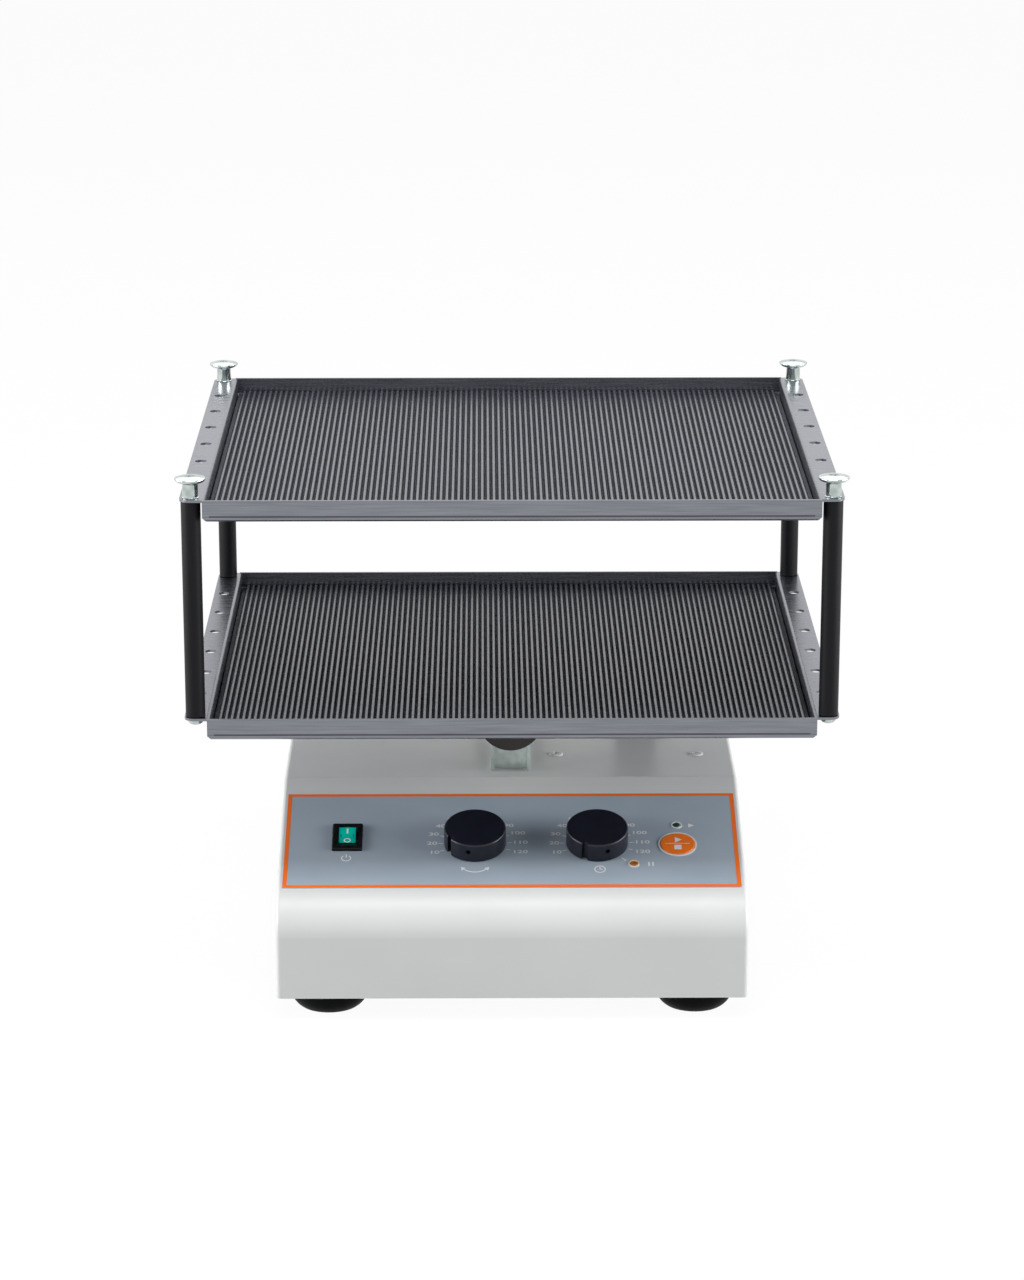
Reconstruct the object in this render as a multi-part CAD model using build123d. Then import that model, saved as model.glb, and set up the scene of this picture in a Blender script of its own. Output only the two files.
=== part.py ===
"""Rocking platform shaker for a laboratory bench, with two stacked trays on a pivoted platform.

Millimetres, +Z up. The origin lies on the bench, under the middle of the trays; -Y is the control panel side.
The platform rocks about the Y axis. A crank below the top cover drives it through a Scotch yoke.
"""

import os
from math import cos, radians, sin, tan

from build123d import *

# ---------------------------------------------------------------- driving dimensions
FIT = 0.05  # radial running clearance of a shaft in its bore
SEAT = 0.02  # radial clearance of pieces that are fixed together

# trays
TRAY_W = 356.0
TRAY_D = 320.0
TRAY_H = 13.0
TRAY_SHEET = 1.5
TRAY_BEND = 3.5
SCORE_W, SCORE_DEPTH = 0.7, 0.35
RIM_BEND = 2.0
CORNER_RELIEF = 2.2
FLANGE_W = 13.4
FLANGE_CORNER = 6.0
FLANGE_HOLES = 8
FLANGE_HOLE_D = 6.8
POST_FROM_WALL = 7.0
POST_FROM_END = 8.0

# ribbed mats
MAT_GAP = 0.6
MAT_BASE = 1.6
RIB_H = 2.0
RIB_PITCH = 3.3
RIB_TOP = 1.3
RIB_FOOT = 2.1

# posts and their screws
POST_D = 11.5
POST_L = 130.0
POST_BORE_D = 6.0
POST_BORE_DEPTH = 24.0
THUMB_HEAD_D = 18.2
THUMB_HEAD_H = 3.6
THUMB_RIM_H = 1.0
THUMB_CROWN = 0.8
THUMB_NECK_D = 9.0
THUMB_NECK_H = 8.6
THUMB_SHANK_L = 20.0
THUMB_BELLY_OUT, THUMB_BELLY_UP = 0.58, 0.32  # where the head's underside bulges, as shares of it
POST_SCREW_L = 16.0

# screws: head radius, head height, shank radius
POST_SCREW = (4.7, 3.2, POST_BORE_D / 2 - FIT)
M3 = (2.8, 1.8, 1.5)
M4 = (3.6, 2.4, 2.0)
M5 = (4.6, 2.8, 2.5)
COVER_SCREW = (4.5, 0.9, 2.0)
BASE_SCREW = (3.4, 1.8, 1.8)
SCREW_OUT = 6.0  # how far a screw reaches past the pieces it holds
HOLE_ROOM = 0.2  # radial room round a screw or stud
M3_NUT, M4_NUT, M5_NUT = 5.5, 7.0, 8.0
NUT_H = 4.0

# housing
HOUSING_W = 281.0
FRONT_Y = -156.5
BACK_Y = 130.0
BEND_Y = -31.0
HOUSING_H = 97.0
PANEL_SLOPE = 17.5
NOSE_R = 26.0
BEND_R = 3.0
BACK_R = 4.0
SIDE_R = 2.5
SHEET = 1.5
RETURN_W = 11.0
BASE_GAP = 0.3
BASE_SCREW_Y = 60.0

# feet
FOOT_H = 14.0
FOOT_D = 47.0
FOOT_SOLE_D = 36.0
FOOT_BAND = 4.0
FOOT_INSET_X = 30.5
FOOT_INSET_Y = 30.5
FOOT_RECESS_D = 11.0
FOOT_RECESS_H = 6.0

# pivot
PIVOT_RISE = 35.0
TRAY_OVER_PIVOT = 31.0
TILT = 7.0
SHAFT_D = 9.9
PEDESTAL_W = 24.5
PEDESTAL_FRONT_Y = -20.0
PEDESTAL_L = 100.0
PEDESTAL_SHEET = 2.5
PEDESTAL_EDGE = 2.0
PEDESTAL_FLANGE = 5.5
BUSH_D = 14.0
BUSH_LIP_D = 18.0
BUSH_LIP = 1.5
SADDLE_T = 4.0
SADDLE_W = 60.0
SADDLE_EAR_D = 40.0
EAR_GAP = 0.5
COLLAR_D = 20.0
COLLAR_L = 6.0
STUD_D = 5.0
STUD_X = 22.0
STUD_ROWS = 2
STUD_PITCH = 50.0

# rocking drive
DRIVE_X = 81.0
DRIVE_Y = 60.0
DRIVE_DEPTH = 78.0
STROKE_SHARE = 1.088
YOKE_SLACK = 1.0  # the slot's room above and below the roller
ROLLER_D = 13.0
ROLLER_W = 5.0
PIN_D = 5.0
YOKE_T = 4.0
YOKE_RIM = 7.0
YOKE_RAISE = 0.18
ARM_W = 26.0
ARM_T = 5.0
ARM_FOOT = 32.0
ARM_LAP = 16.0
ARM_OVER_SLOT = 10.5
SLOT_GAP = 4.0
SLOT_SIDE = 3.5
GROMMET_WALL = 1.5
GROMMET_LIP = 3.0
CRANK_D = 36.0
CRANK_T = 6.0
CRANK_TO_YOKE = 3.0
OUTPUT_SHAFT_D = 8.0
GEARBOX_D = 37.0
GEARBOX_L = 26.0
GEARBOX_BOSS_D = 12.0
GEARBOX_SCREW_R = 14.0
GEARBOX_TURNS = (45, 135, 225, 315)
MOTOR_D = 36.0
MOTOR_L = 48.0
BRACKET_T = 3.0
BRACKET_W = 106.0
BRACKET_FRONT = 35.0
BRACKET_REAR = 25.0
WEB_W = 56.0
WEB_FLANGE = 8.0
BRACKET_SCREW_PITCH = 88.5
BRACKET_SCREW_Y = 13.6
BRACKET_X = 73.2

# control panel, measured down the slope from the bend
OVERLAY_MARGIN = 3.3
OVERLAY_V0 = 18.4
OVERLAY_L = 94.0
OVERLAY_T = 0.5
SWITCH_FROM_SIDE, SWITCH_V = 41.0, 63.7
SWITCH_W, SWITCH_L, SWITCH_RIM = 18.5, 25.5, 2.2
SWITCH_BODY_W, SWITCH_BODY_L, SWITCH_BODY_H = 15.0, 22.0, 14.0
ROCKER_W, ROCKER_L = 11.6, 17.2
ROCKER_GAP = 0.4
ROCKER_AXIS_H = -2.0
ROCKER_TOP = 5.2
ROCKER_TILT = 7.0
TRUNNION_D = 2.4
SPEED_U, TIME_U, KNOB_V = -22.1, 51.8, 69.3
KNOB_D, KNOB_H = 37.5, 12.0
KNOB_GAP = 0.6
KNOB_WALL = 2.6
KNOB_TOP = 3.0
KNOB_EDGE = 1.2
KNOB_HUB_D = 14.0
NOTCH_W, NOTCH_DEPTH = 3.8, 2.0
SPEED_MARK, TIME_MARK = 214.0, 245.0
SET_SCREW_TURN = 43.5
SET_SCREW_D = 2.8
POT_D, POT_H = 17.0, 9.0
POT_SHAFT_D = 6.0
POT_THREAD_D = 7.6
POT_NUT = 10.0
LED_D = 4.9
RUN_FROM_BUTTON, RUN_V = 0.2, 51.2
HOLD_FROM_KNOB, HOLD_V = 21.8, 89.7
LED_RING_D = 6.8
BUTTON_FROM_SIDE, BUTTON_V = 39.9, 70.5
BUTTON_D = 20.8
BUTTON_RING_D = 23.4
BUTTON_RISE = 0.8
BUTTON_TRAVEL = 0.8
BUTTON_GAP = 0.3
BOARD_T = 1.6
BOARD_PAST_KNOB, BOARD_FROM_SIDE = 22.9, 15.5
BOARD_V0, BOARD_V1 = 36.0, 104.0
PILLAR_D = 6.0
PILLAR_INSET = 5.0
CHIP_W, CHIP_L, CHIP_H = 12.0, 9.0, 2.5
TERMINAL_W, TERMINAL_L, TERMINAL_H = 22.0, 6.0, 9.0
TERMINAL_INSET = 12.0

# mains inlet in the back
INLET_FROM_SIDE, INLET_Z = 52.5, 62.0
INLET_W, INLET_H, INLET_DEPTH = 27.5, 29.5, 26.0
INLET_WALL = 1.5
INLET_BACK = 6.0
INLET_FLANGE_W, INLET_FLANGE_H, INLET_FLANGE_T = 50.0, 32.0, 2.5
INLET_SCREW_PITCH = 40.0
SOCKET_H = 17.0
DRAWER_H = 8.0
DRAWER_GAP = 0.3
DRAWER_LIP = 1.5
PIN_GAP = 7.0
PIN_STEP = 2.0
PIN_W, PIN_H = 2.0, 4.0
PIN_L, EARTH_PIN_L = 14.0, 15.5
TAIL_L = 7.0

# power supply inside the housing
SUPPLY_FROM_SIDE, SUPPLY_Y = 52.5, 30.0
SUPPLY_W, SUPPLY_L, SUPPLY_RISE = 74.0, 84.0, 8.0
FINS, FIN_PITCH, FIN_T, FIN_L, FIN_H = 5, 4.0, 1.6, 40.0, 24.0
SINK_INSET, SINK_T = 13.0, 2.0
CAPACITOR_D, CAPACITOR_H, CAPACITOR_PITCH, CAPACITOR_INSET = 14.0, 20.0, 21.0, 17.0
TRANSFORMER_EAR = 12.0
TRANSFORMER_X, TRANSFORMER_Y = -20.0, 88.0
CORE_W, CORE_T, CORE_H = 54.0, 20.0, 45.0

# ---------------------------------------------------------------- places worked out from them
OVERLAY_W = HOUSING_W - 2 * OVERLAY_MARGIN
SWITCH_U = SWITCH_FROM_SIDE - HOUSING_W / 2
BUTTON_U = HOUSING_W / 2 - BUTTON_FROM_SIDE
RUN_U = BUTTON_U + RUN_FROM_BUTTON
HOLD_U = TIME_U + HOLD_FROM_KNOB
BOARD_U0 = SPEED_U - BOARD_PAST_KNOB
BOARD_U1 = HOUSING_W / 2 - BOARD_FROM_SIDE
INLET_X = INLET_FROM_SIDE - HOUSING_W / 2
SUPPLY_X = SUPPLY_FROM_SIDE - HOUSING_W / 2
TOP_Z = FOOT_H + HOUSING_H
PIVOT_Z = TOP_Z + PIVOT_RISE
TRAY_Z = PIVOT_Z + TRAY_OVER_PIVOT
LOWER_RIM = TRAY_Z + TRAY_H
UPPER_RIM = LOWER_RIM + POST_L + TRAY_SHEET
POST_X = TRAY_W / 2 + POST_FROM_WALL
POST_Y = TRAY_D / 2 - POST_FROM_END
FOOT_X = HOUSING_W / 2 - FOOT_INSET_X
FOOT_YS = (FRONT_Y + FOOT_INSET_Y, BACK_Y - FOOT_INSET_Y)
FLOOR_Z = FOOT_H + SHEET
SLOPE = radians(PANEL_SLOPE)
PANEL = Plane(origin=(0, BEND_Y, TOP_Z), x_dir=(1, 0, 0), z_dir=(0, -sin(SLOPE), cos(SLOPE)))
SADDLE_Y0 = PEDESTAL_FRONT_Y - EAR_GAP - SADDLE_T
SADDLE_Y1 = PEDESTAL_FRONT_Y + PEDESTAL_L + EAR_GAP + SADDLE_T
STUD_Y0 = PEDESTAL_FRONT_Y + PEDESTAL_L / 2 - STUD_PITCH / 2
CRANK_Z = PIVOT_Z - DRIVE_DEPTH
CRANK_R = STROKE_SHARE * DRIVE_X * sin(radians(TILT))
YOKE_SWING = 0.7 * DRIVE_DEPTH * sin(radians(TILT))
YOKE_SLOT_H = ROLLER_D + 2 * YOKE_SLACK
YOKE_SLOT_L = 2 * (CRANK_R + YOKE_SWING + YOKE_SLACK) + ROLLER_D
YOKE_Z = CRANK_Z + YOKE_RAISE
ARM_END_Z = YOKE_Z + YOKE_SLOT_H / 2 + ARM_OVER_SLOT
TOP_SLOT_L = ARM_W + 2 * (PIVOT_RISE * sin(radians(TILT)) + SLOT_GAP)
TOP_SLOT_W = YOKE_T + ARM_T + 2 * (SLOT_SIDE + GROMMET_WALL)
TOP_SLOT_Y = DRIVE_Y + (ARM_T - YOKE_T) / 2
CRANK_Y1 = DRIVE_Y - YOKE_T - CRANK_TO_YOKE
CRANK_Y0 = CRANK_Y1 - CRANK_T
WEB_Y1 = CRANK_Y0 - 4.0
WEB_Y0 = WEB_Y1 - BRACKET_T
BOARD_TOP = -SHEET - POT_H
CORNERS = {"front_left": (-1, -1), "front_right": (1, -1), "rear_left": (-1, 1), "rear_right": (1, 1)}


# ---------------------------------------------------------------- helpers
def write(name, *solids):
    """One STEP file for a node, from one solid or a group of separate ones."""
    shape = solids[0] if len(solids) == 1 else Compound(children=list(solids))
    shape.label = name
    export_step(shape, f"parts/{name}.step")


def block(x0, x1, y0, y1, z0, z1):
    """A box between two corners."""
    return Pos((x0 + x1) / 2, (y0 + y1) / 2, (z0 + z1) / 2) * Box(x1 - x0, y1 - y0, z1 - z0)


def rod(radius, start, end, direction="Z"):
    """A round bar between two heights along an axis through the origin."""
    bar = Pos(0, 0, (start + end) / 2) * Cylinder(radius, end - start)
    turn = {"Z": Rot(0, 0, 0), "Y": Rot(-90, 0, 0), "X": Rot(0, 90, 0)}[direction]
    return turn * bar


def tube(outer, inner, start, end, direction="Z"):
    """A round bar with a bore right through."""
    return rod(outer, start, end, direction) - rod(inner, start - 1, end + 1, direction)


def hexagon_nut(across, bore, start, end, direction="Z"):
    """A hexagon nut between two heights along an axis."""
    prism = Pos(0, 0, start) * extrude(RegularPolygon(across / 2, 6, major_radius=False), end - start)
    turn = {"Z": Rot(0, 0, 0), "Y": Rot(-90, 0, 0)}[direction]
    return turn * prism - rod(bore, start - 1, end + 1, direction)


def pan_screw(size, length, flip=False):
    """A screw whose head stands on z = 0 with the shank below it, or the other way up."""
    head_r, head_h, shank_r = size
    head = fillet(rod(head_r, 0, head_h).edges().sort_by(Axis.Z)[-1], head_h * 0.45)
    screw = head + rod(shank_r, -length, 0)
    return Rot(180, 0, 0) * screw if flip else screw


def on_panel(u, v, h=0.0):
    """A place on the control panel: u across, v down the slope from the bend, h out of the sheet."""
    return PANEL.location * Pos(u, -v, h)


# ---------------------------------------------------------------- trays, mats and posts
def flange_hole_ys():
    pitch = 2 * POST_Y / (FLANGE_HOLES - 1)
    return [-POST_Y + i * pitch for i in range(FLANGE_HOLES)]


def stud_places():
    """Welded studs under the lower tray: the saddle's four, then the drive arm's two."""
    saddle = [(x, STUD_Y0 + i * STUD_PITCH) for i in range(STUD_ROWS) for x in (-STUD_X, STUD_X)]
    arm = [(DRIVE_X + side * ARM_W / 4, DRIVE_Y + ARM_FOOT * 0.62) for side in (-1, 1)]
    return saddle + arm


def folded_rim(rim_z):
    """The top of a side wall, bent outwards into a flange with rounded ends."""
    wall, reach = TRAY_W / 2 - TRAY_SHEET, TRAY_W / 2 + FLANGE_W
    under = rim_z - TRAY_SHEET
    low = under - RIM_BEND
    upper = [(wall, low), (wall, rim_z), (reach, rim_z), (reach, under)]
    lower = [(TRAY_W / 2, under), (TRAY_W / 2, low)]
    face = make_face(Plane.XZ * Polyline(*upper, *lower, close=True))
    face = fillet(face.vertices().sort_by_distance((wall, 0, rim_z))[0], RIM_BEND)
    rim = extrude(face, TRAY_D / 2 - TRAY_SHEET, both=True)
    corners = [e for e in rim.edges().filter_by(Axis.Z) if abs(e.center().X - reach) < 0.01]
    return fillet(corners, FLANGE_CORNER)


def folded_tray(rim_z, studs=()):
    """A pan folded from sheet: floor, four walls, and a drilled flange along each side."""
    half_w, half_d = TRAY_W / 2, TRAY_D / 2
    low = rim_z - TRAY_H
    outer = block(-half_w, half_w, -half_d, half_d, low, rim_z)
    outer = fillet(outer.edges().group_by(Axis.Z)[0], TRAY_BEND)
    inset = TRAY_SHEET
    inner = block(-half_w + inset, half_w - inset, -half_d + inset, half_d - inset, low + inset, rim_z + 5)
    inner = fillet(inner.edges().group_by(Axis.Z)[0], TRAY_BEND - inset)
    pan = outer - inner
    for side in (-1, 1):
        pan -= Pos(0, side * half_d, low + TRAY_BEND) * Box(TRAY_W + 2, 2 * SCORE_DEPTH, SCORE_W)
    rim = folded_rim(rim_z)
    for side in (-1, 1):
        x0, x1 = sorted((side * (half_w - inset - 1), side * (half_w + 1)))
        pan -= block(x0, x1, -half_d + inset, half_d - inset, rim_z - TRAY_SHEET - RIM_BEND, rim_z + 1)
    pan += rim
    pan += mirror(rim, Plane.YZ)
    for side_x in (-1, 1):
        for y in flange_hole_ys():
            pan -= Pos(side_x * POST_X, y, rim_z) * rod(FLANGE_HOLE_D / 2, -2 * TRAY_SHEET, TRAY_SHEET)
        for side_y in (-1, 1):
            pan -= Pos(side_x * half_w, side_y * half_d, low) * Box(
                2 * CORNER_RELIEF, 2 * CORNER_RELIEF, 2 * CORNER_RELIEF
            )
    for x, y in studs:
        pan += Pos(x, y, low) * rod(STUD_D / 2, -SADDLE_T - SCREW_OUT, inset / 2)
    return pan


def ribbed_mat(rim_z):
    """A rubber mat with ribs that run from front to back."""
    width = TRAY_W - 2 * TRAY_SHEET - 2 * MAT_GAP
    depth = TRAY_D - 2 * TRAY_SHEET - 2 * MAT_GAP
    foot = TRAY_BEND - TRAY_SHEET
    low = rim_z - TRAY_H + TRAY_SHEET
    ribs = int((width - RIB_PITCH) / RIB_PITCH)
    bevel = 0.6 * foot
    outline = [(-width / 2 + foot, 0), (-width / 2, bevel), (-width / 2, MAT_BASE)]
    for i in range(ribs):
        middle = (i - (ribs - 1) / 2) * RIB_PITCH
        outline += [
            (middle - RIB_FOOT / 2, MAT_BASE),
            (middle - RIB_TOP / 2, MAT_BASE + RIB_H),
            (middle + RIB_TOP / 2, MAT_BASE + RIB_H),
            (middle + RIB_FOOT / 2, MAT_BASE),
        ]
    outline += [(width / 2, MAT_BASE), (width / 2, bevel), (width / 2 - foot, 0)]
    mat = extrude(make_face(Plane.XZ * Polyline(*outline, close=True)), depth / 2, both=True)
    for side in (-1, 1):
        end = side * depth / 2
        inward = end - side * foot
        wedge = Polyline((end, bevel), (end + side, -1), (inward - side, -1), (inward, 0), close=True)
        mat -= extrude(make_face(Plane.YZ * wedge), width, both=True)
    return Pos(0, 0, low) * mat


def post():
    """A round spacer, bored at both ends, standing on the lower flange."""
    bar = rod(POST_D / 2, 0, POST_L)
    bar = chamfer(bar.edges().filter_by(GeomType.CIRCLE), 0.4)
    bar -= rod(POST_BORE_D / 2, -1, POST_BORE_DEPTH)
    return bar - rod(POST_BORE_D / 2, POST_L - POST_BORE_DEPTH, POST_L + 1)


def thumb_screw():
    """A dished thumb screw on z = 0: neck, flared head with a shallow crown, and a shank below."""
    neck_r, head_r = THUMB_NECK_D / 2, THUMB_HEAD_D / 2
    under = THUMB_NECK_H + THUMB_HEAD_H - THUMB_RIM_H
    rim = THUMB_NECK_H + THUMB_HEAD_H
    bulge_r = neck_r + THUMB_BELLY_OUT * (head_r - neck_r)
    bulge_z = THUMB_NECK_H + THUMB_BELLY_UP * (under - THUMB_NECK_H)
    side = Polyline((0, 0), (neck_r, 0), (neck_r, THUMB_NECK_H))
    flare = ThreePointArc((neck_r, THUMB_NECK_H), (bulge_r, bulge_z), (head_r, under))
    edge = Line((head_r, under), (head_r, rim))
    crown = TangentArc((0, rim + THUMB_CROWN), (head_r, rim), tangent=(1, 0))
    axis_line = Line((0, rim + THUMB_CROWN), (0, 0))
    face = make_face(Plane.XZ * (side + flare + edge + crown + axis_line))
    head = revolve(face, Axis.Z)
    return head + rod(POST_BORE_D / 2 - FIT, -TRAY_SHEET - THUMB_SHANK_L, THUMB_NECK_H / 2)


def platform_pieces():
    write("lower_tray", folded_tray(LOWER_RIM, stud_places()))
    write("upper_tray", folded_tray(UPPER_RIM))
    write("lower_mat", ribbed_mat(LOWER_RIM))
    write("upper_mat", ribbed_mat(UPPER_RIM))
    screws = []
    screw = pan_screw(POST_SCREW, POST_SCREW_L, flip=True)
    for corner, (side_x, side_y) in CORNERS.items():
        place = Pos(side_x * POST_X, side_y * POST_Y, 0)
        write(f"post_{corner}", place * Pos(0, 0, LOWER_RIM) * post())
        write(f"thumb_screw_{corner}", place * Pos(0, 0, UPPER_RIM) * thumb_screw())
        screws.append(place * Pos(0, 0, LOWER_RIM - TRAY_SHEET) * screw)
    write("post_screws", *screws)


# ---------------------------------------------------------------- pivot
def pivot_pedestal():
    """A folded strap: a foot on the housing and an upright channel at each end that carries a bush."""
    front, back = PEDESTAL_FRONT_Y, PEDESTAL_FRONT_Y + PEDESTAL_L
    half = PEDESTAL_W / 2
    web_front, web_back = front + PEDESTAL_FLANGE, back - PEDESTAL_FLANGE
    strap = block(-half, half, web_front, web_back, TOP_Z, TOP_Z + PEDESTAL_SHEET)
    for side in (-1, 1):
        outside = front if side < 0 else back
        web = web_front if side < 0 else web_back
        inside = web - side * PEDESTAL_SHEET
        low_y, high_y = sorted((outside, inside))
        upright = block(-half, half, low_y, high_y, TOP_Z, PIVOT_Z)
        upright += Pos(0, 0, PIVOT_Z) * rod(half, low_y, high_y, "Y")
        hollow_y0, hollow_y1 = sorted((outside + side, web))
        room = half - PEDESTAL_EDGE
        hollow = block(-room, room, hollow_y0, hollow_y1, TOP_Z - 1, PIVOT_Z)
        hollow += Pos(0, 0, PIVOT_Z) * rod(room, hollow_y0, hollow_y1, "Y")
        strap += upright - hollow
    strap -= Pos(0, 0, PIVOT_Z) * rod(BUSH_D / 2 + SEAT, front - 1, back + 1, "Y")
    for y in stud_rows():
        strap -= Pos(0, y, TOP_Z) * rod(STUD_D / 2 + HOLE_ROOM, -1, PEDESTAL_SHEET + 1)
    return strap


def stud_rows():
    return [STUD_Y0 + i * STUD_PITCH for i in range(STUD_ROWS)]


def pivot_bush(side):
    """A flanged bronze bush in one upright, its lip on the inner face."""
    end = PEDESTAL_FRONT_Y if side < 0 else PEDESTAL_FRONT_Y + PEDESTAL_L
    web = end - side * PEDESTAL_FLANGE
    inner = web - side * PEDESTAL_SHEET
    lip = inner - side * BUSH_LIP
    sleeve = rod(BUSH_D / 2, *sorted((web, inner)), "Y")
    sleeve += rod(BUSH_LIP_D / 2, *sorted((inner, lip)), "Y")
    sleeve -= rod(SHAFT_D / 2 + FIT, *sorted((web + side, lip - side)), "Y")
    return Pos(0, 0, PIVOT_Z) * sleeve


def platform_saddle():
    """The black carrier under the lower tray, with a round-ended ear outside each upright."""
    half = SADDLE_W / 2
    saddle = block(-half, half, SADDLE_Y0, SADDLE_Y1, TRAY_Z - SADDLE_T, TRAY_Z)
    ear_r = SADDLE_EAR_D / 2
    for y in (SADDLE_Y0, SADDLE_Y1 - SADDLE_T):
        ear = block(-ear_r, ear_r, y, y + SADDLE_T, PIVOT_Z, TRAY_Z - SADDLE_T / 2)
        ear += Pos(0, 0, PIVOT_Z) * rod(ear_r, y, y + SADDLE_T, "Y")
        saddle += ear
    saddle -= Pos(0, 0, PIVOT_Z) * rod(SHAFT_D / 2 + SEAT, SADDLE_Y0 - 1, SADDLE_Y1 + 1, "Y")
    for x, y in stud_places()[: 2 * STUD_ROWS]:
        saddle -= Pos(x, y, TRAY_Z) * rod(STUD_D / 2 + HOLE_ROOM, -SADDLE_T - 1, 1)
    return saddle


def pivot_pieces():
    write("pivot_pedestal", pivot_pedestal())
    write("pivot_bushes", pivot_bush(-1), pivot_bush(1))
    write("platform_saddle", platform_saddle())
    ends = (SADDLE_Y0 - COLLAR_L - 0.5, SADDLE_Y1 + COLLAR_L + 0.5)
    shaft = rod(SHAFT_D / 2, *ends, "Y")
    write("pivot_shaft", Pos(0, 0, PIVOT_Z) * chamfer(shaft.edges().filter_by(GeomType.CIRCLE), 0.5))
    collars = []
    for low, high in ((SADDLE_Y0 - COLLAR_L, SADDLE_Y0), (SADDLE_Y1, SADDLE_Y1 + COLLAR_L)):
        collar = tube(COLLAR_D / 2, SHAFT_D / 2 + SEAT, low, high, "Y")
        middle = (low + high) / 2
        collar -= Pos(0, middle, 0) * rod(1.5, SHAFT_D / 2, COLLAR_D, "Z")
        collars.append(Pos(0, 0, PIVOT_Z) * collar)
    write("shaft_collars", *collars)
    nuts = []
    for x, y in stud_places():
        nut = hexagon_nut(M5_NUT, STUD_D / 2 + SEAT, -SADDLE_T - NUT_H, -SADDLE_T)
        nuts.append(Pos(x, y, TRAY_Z) * nut)
    write("stud_nuts", *nuts)
    screws = []
    for y in stud_rows():
        bolt = pan_screw(M5, PEDESTAL_SHEET + SHEET + SCREW_OUT)
        screws.append(Pos(0, y, TOP_Z + PEDESTAL_SHEET) * bolt)
        nut = hexagon_nut(M5_NUT, M5[2] + SEAT, -SHEET - NUT_H, -SHEET)
        screws.append(Pos(0, y, TOP_Z) * nut)
    write("pedestal_screws", *screws)


# ---------------------------------------------------------------- rocking drive
def yoke_screw_places():
    return [(DRIVE_X + side * ARM_W / 4, ARM_END_Z + ARM_LAP * 0.32) for side in (-1, 1)]


def yoke_plate():
    """The plate whose long slot rides on the crank roller, with a tongue up to the arm."""
    rim = YOKE_RIM
    length, height = YOKE_SLOT_L + 2 * rim - 2, YOKE_SLOT_H + 2 * rim
    bar = Rectangle(length, height)
    bar = fillet(bar.vertices(), 5)
    tongue_top = ARM_END_Z + ARM_LAP - YOKE_Z
    tongue = Pos(0, tongue_top / 2) * Rectangle(ARM_W, tongue_top)
    outline = bar + tongue - SlotOverall(YOKE_SLOT_L, YOKE_SLOT_H)
    flat = Plane.XZ * extrude(outline, YOKE_T)
    plate = Pos(DRIVE_X, DRIVE_Y, YOKE_Z) * flat
    for x, z in yoke_screw_places():
        plate -= Pos(x, DRIVE_Y, z) * rod(M4[2] + HOLE_ROOM, -YOKE_T - 1, 1, "Y")
    return plate


def drive_arm():
    """The black bent arm that hangs from the lower tray and goes down through the top cover."""
    half = ARM_W / 2
    leg = block(DRIVE_X - half, DRIVE_X + half, DRIVE_Y, DRIVE_Y + ARM_T, ARM_END_Z, TRAY_Z)
    foot = block(
        DRIVE_X - half, DRIVE_X + half, DRIVE_Y, DRIVE_Y + ARM_FOOT, TRAY_Z - SADDLE_T, TRAY_Z
    )
    arm = leg + foot
    bend = [
        e
        for e in arm.edges().filter_by(Axis.X)
        if abs(e.center().Y - DRIVE_Y - ARM_T) < 0.01 and abs(e.center().Z - TRAY_Z + SADDLE_T) < 0.01
    ]
    arm = fillet(bend, 3)
    for x, y in stud_places()[-2:]:
        arm -= Pos(x, y, TRAY_Z) * rod(STUD_D / 2 + HOLE_ROOM, -SADDLE_T - 1, 1)
    for x, z in yoke_screw_places():
        arm -= Pos(x, DRIVE_Y, z) * rod(M4[2] + HOLE_ROOM, -1, ARM_T + 1, "Y")
    return arm


def slot_grommet():
    """The rubber edging of the drive slot in the top cover."""
    length, width = TOP_SLOT_L, TOP_SLOT_W
    grow = 2 * GROMMET_LIP
    lip = extrude(SlotOverall(length + grow, width + grow), GROMMET_WALL)
    sleeve = extrude(SlotOverall(length - 2 * SEAT, width - 2 * SEAT), SHEET)
    free = SlotOverall(length - 2 * GROMMET_WALL, width - 2 * GROMMET_WALL)
    ring = Pos(0, 0, SHEET) * lip + sleeve + Pos(0, 0, -GROMMET_WALL) * lip
    ring -= Pos(0, 0, -GROMMET_WALL - 1) * extrude(free, SHEET + 2 * GROMMET_WALL + 2)
    return Pos(DRIVE_X, TOP_SLOT_Y, TOP_Z - SHEET) * ring


def bracket_screw_places():
    rear = WEB_Y1 + TOP_SLOT_W + BRACKET_REAR + 5
    xs = [BRACKET_X + side * BRACKET_SCREW_PITCH / 2 for side in (-1, 1)]
    return [(x, y) for y in (BRACKET_SCREW_Y, rear) for x in xs]


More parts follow.
